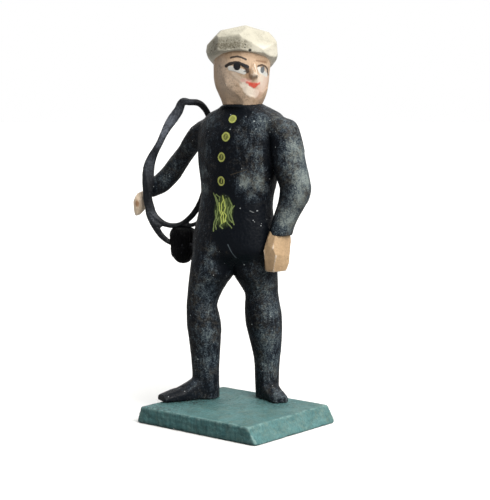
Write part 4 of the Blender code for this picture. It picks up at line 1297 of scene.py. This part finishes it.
coil = {
    "turn": 40.2,
    "offset": 20.6,  # the coil lies in an upright plane, set off from the origin
    "thickness": 1.3,
    # along the plane, height, half width
    "loop": [
        (-14.15, 79.75, 1.15), (-15.3, 77.4, 1.38), (-16.9, 75.1, 1.48), (-18.3, 73.0, 1.28),
        (-19.5, 70.7, 1.06), (-20.5, 68.6, 0.98), (-21.7, 66.4, 1.1), (-22.9, 63.9, 1.43),
        (-23.55, 61.5, 1.68), (-23.75, 58.7, 1.73), (-23.9, 56.1, 1.48), (-23.9, 53.3, 1.33),
        (-23.3, 50.7, 1.38), (-22.2, 48.6, 1.05), (-20.4, 46.9, 0.9), (-18.9, 46.1, 0.8),
        (-17.1, 45.75, 0.75), (-15.2, 46.0, 0.75), (-13.3, 47.0, 0.8), (-11.5, 48.8, 0.85),
        (-10.1, 50.8, 0.85), (-9.2, 52.8, 0.82), (-8.5, 54.8, 0.8), (-7.4, 58.5, 0.8),
        (-6.5, 63.5, 0.8), (-6.0, 68.5, 0.8), (-6.2, 73.0, 0.85), (-7.2, 76.4, 0.9), (-8.5, 78.5, 0.92),
        (-10.0, 79.55, 0.95), (-12.2, 79.7, 0.95),
    ],
    "second": [
        (-15.6, 46.0, 0.6), (-12.8, 45.8, 0.6), (-10.6, 46.3, 0.6), (-8.8, 48.0, 0.6),
        (-8.0, 51.0, 0.6), (-8.2, 54.5, 0.6),
    ],
    "web": [
        (-22.9, 49.4, 1.3), (-21.8, 47.3, 1.5), (-20.9, 46.1, 1.2), (-20.4, 45.2, 0.5),
    ],
    "tail": [
        (-23.9, 52.5, 0.9), (-23.3, 49.2, 1.25), (-22.2, 46.6, 1.25), (-21.2, 44.4, 0.95),
        (-19.9, 42.7, 0.85), (-18.5, 41.5, 0.75),
    ],
    "voxel": 0.16,
    "black": (0.0062, 0.0072, 0.0098),
    "greyBlue": (0.17, 0.19, 0.23),
    # painted sheen, grey-blue, where the band faces the front: along the plane, height, reach, strength
    "paleSpotsAndHighlights": [
        (-15.6, 77.0, 1.8, 0.8), (-17.2, 74.3, 2.4, 1.7), (-18.9, 71.6, 2.2, 1.6), (-20.4, 68.8, 1.8, 0.9),
        (-23.3, 62.5, 3.0, 0.45), (-22.3, 48.4, 1.8, 0.45), (-12.6, 79.8, 1.8, 0.4),
    ],
    "brown": (0.16, 0.085, 0.035),
}
brush = {
    "place": -14.2, "top": 45.4, "height": 10.2, "width": 7.6,
    "nooseDrop": 0.455,
    # radius and height, as shares of the brush's own width and height
    "profile": [
        (0.0, 0.0), (0.28, -0.01), (0.42, -0.05), (0.485, -0.14), (0.49, -0.27), (0.44, -0.36),
        (0.4, -0.42), (0.44, -0.49), (0.47, -0.58), (0.43, -0.72), (0.35, -0.85), (0.2, -0.96),
        (0.0, -1.0),
    ],
    "tufts": 210,
    "black": (0.0012, 0.0011, 0.0014),
    "worn": (0.0045, 0.0048, 0.0062),
    "grey": (0.035, 0.040, 0.048),
}


def coilPoint(along, height):
    turn = math.radians(coil["turn"])
    out = coil["offset"]
    return Vector((math.cos(turn) * along - math.sin(turn) * out,
                   math.sin(turn) * along + math.cos(turn) * out, ground + height)) * mm


# a flat band of rope with two strands showing on it, drawn slowly across each other
def addBand(bm, stations, closed=False, crossings=3.0):
    turn = math.radians(coil["turn"])
    away = Vector((-math.sin(turn), math.cos(turn), 0))
    rows = curveThrough(stations, 5, closed)
    line = [coilPoint(row[0], row[1]) for row in rows]
    count = len(rows)
    ends = []
    for i in range(count):
        before, after = (i - 1, (i + 1) % count) if closed else (max(i - 1, 0), min(i + 1, count - 1))
        ends.append((line[after] - line[before]).cross(away).normalized())
    body = [ringOf(point, aside, away, (row[2] * 0.96, coil["thickness"] * 0.41), 2.1, 16)
            for point, aside, row in zip(line, ends, rows)]
    skin(bm, body, closed)
    for side in (-1, 1):
        rings = []
        for i, (point, aside, row) in enumerate(zip(line, ends, rows)):
            cord = max(0.34, row[2] * 0.45)
            swing = 2 * math.pi * crossings * i / count
            shift = side * math.cos(swing) * max(row[2] - cord, 0) * 0.8
            deep = side * math.sin(swing) * max(coil["thickness"] / 2 - 0.42, 0)
            rings.append(ringOf(point, aside, away, (cord, 0.46), 2.1, 12, shift, deep))
        skin(bm, rings, closed)


def ropeMaterial():
    material, tree, place = newMaterial("rope paint", 0.38, 0.3)
    clouds = useGroup(mottle, {"Place": place, "Broad": 4.0, "Fine": 0.5, "Seed": 11.0})
    edges = useGroup(rubbedEdges, {"Place": place, "Amount": 0.15, "Patch": 1.0, "Seed": 12.0})
    base = blendColour(edges["Mask"], coil["black"], coil["greyBlue"], 0.22)
    base = blendColour(times(clouds["Broad"], clouds["Fine"]), base, coil["greyBlue"], 0.10)
    # painted sheen in grey-blue along the band
    sheen = times(attribute(tree, "paleAndPaintedLight", "Fac"), plus(times(clouds["Fine"], 0.6), 0.4))
    base = blendColour(sheen, base, coil["greyBlue"])
    rust = useGroup(flecks, {"Place": place, "Spacing": 6.0, "Size": 0.5, "Share": 0.15})
    base = blendColour(rust["Mask"], base, coil["brown"], 0.6)
    return finishMaterial(material, base, ramp(clouds["Fine"], 0.0, 1.0, 0.3, 0.5),
                          (clouds["Fine"], 0.05))


def makeCoil():
    bm = bmesh.new()
    addBand(bm, coil["loop"], closed=True, crossings=4.0)
    addBand(bm, coil["second"], crossings=0.5)
    addBand(bm, coil["web"], crossings=0.3)
    waistRadius = brush["width"] * 0.4 - 0.1
    waistHeight = brush["top"] - brush["height"] * brush["nooseDrop"]
    rings = []
    for i in range(48):
        angle = 2 * math.pi * i / 48
        out = Vector((math.cos(angle), math.sin(angle), 0))
        middle = coilPoint(brush["place"], waistHeight)
        rings.append(ringOf(middle, out, Vector((0, 0, 1)), (0.42, 0.5), 2, 12, waistRadius))
    skin(bm, rings, closed=True)
    addBand(bm, [*coil["tail"], (brush["place"] - waistRadius, waistHeight, 0.65)], crossings=0.8)
    obj = toObject(bm, "ropeCoil")
    fuse(obj, coil["voxel"], 1)
    points, normals = pointsOf(obj.data)
    setPoints(obj.data, roughen(points, normals, 1.1, 0.04))
    keepProud(obj.data, 10)
    points, normals = pointsOf(obj.data)
    facing = math.radians(coil["turn"])
    # painted sheen is kept to the middle of the band, where it faces the front and a little up
    crown = np.clip(normals @ (math.sin(facing), -math.cos(facing), 0.15), 0, 1) ** 2
    paleAndPaintedLight = np.zeros(len(points))
    for along, height, *spot in coil["paleSpotsAndHighlights"]:
        paleAndPaintedLight = np.maximum(paleAndPaintedLight, softSpot(points, np.array(coilPoint(along, height)) / mm, *spot))
    keepValues(obj.data, "paleAndPaintedLight", paleAndPaintedLight * crown)
    finishPiece(obj, ropeMaterial(), "rope_paint", coilNode)


makeCoil()


# the sweep's brush

def brushMaterial():
    material, tree, place = newMaterial("brush hair", 0.5, 0.07)
    strands = useGroup(paintStreaks, {"Place": place, "Width": 0.22, "Length": 3.0, "Seed": 20.0})
    edges = useGroup(rubbedEdges, {"Place": place, "Amount": -0.05, "Patch": 0.8, "Seed": 21.0})
    base = blendColour(strands["Mask"], brush["black"], brush["worn"])
    base = blendColour(edges["Mask"], base, brush["grey"], 0.6)
    return finishMaterial(material, base, ramp(strands["Height"], 0.3, 0.7, 0.4, 0.62),
                          (strands["Height"], 0.10))


def makeBrush():
    rng = np.random.default_rng(11)
    top = coilPoint(brush["place"], brush["top"])
    profile = curveThrough(brush["profile"], 4)
    bm = bmesh.new()
    sides = 96
    groove = rng.uniform(0, 2 * math.pi, 3)
    rings = []
    for radius, height in profile[1:-1]:
        ring = []
        for i in range(sides):
            angle = 2 * math.pi * i / sides
            ripple = sum(math.sin(angle * n + g) for n, g in zip((11, 17, 26), groove)) / 3
            r = radius * brush["width"] * (0.955 + 0.035 * ripple)
            ring.append(top + Vector((math.cos(angle) * r, math.sin(angle) * r,
                                      height * brush["height"])) * mm)
        rings.append(ring)
    skin(bm, rings)
    depths, radii = [-h for _, h in brush["profile"]], [r for r, _ in brush["profile"]]
    for i in range(brush["tufts"]):  # stray tufts that make the lower edge ragged
        angle = rng.uniform(0, 2 * math.pi)
        start = rng.uniform(0.16, 0.30) if i % 3 == 0 else rng.uniform(0.45, 0.72)
        radius = np.interp(start, depths, radii)
        end = rng.uniform(0.80, 0.995)
        spread = rng.uniform(0.75, 1.2) * np.interp(end, depths, radii)
        out = Vector((math.cos(angle), math.sin(angle), 0))
        aside = Vector((-out.y, out.x, 0))
        rings = []
        for t, thick in ((0, 0.34), (0.4, 0.30), (0.8, 0.16), (1, 0.03)):
            r = (radius * 0.93 + (spread - radius) * t * t) * brush["width"]
            drop = Vector((0, 0, (start + (end - start) * t) * brush["height"]))
            middle = top + (out * r - drop) * mm
            rings.append([middle + (out * a + aside * d) * mm for a, d in oval(thick, thick, 2, 6)])
        skin(bm, rings)
    obj = toObject(bm, "brush")
    fuse(obj, 0.13, 1)
    keepProud(obj.data, 8)
    finishPiece(obj, brushMaterial(), "brush_hair", brushNode)


makeBrush()
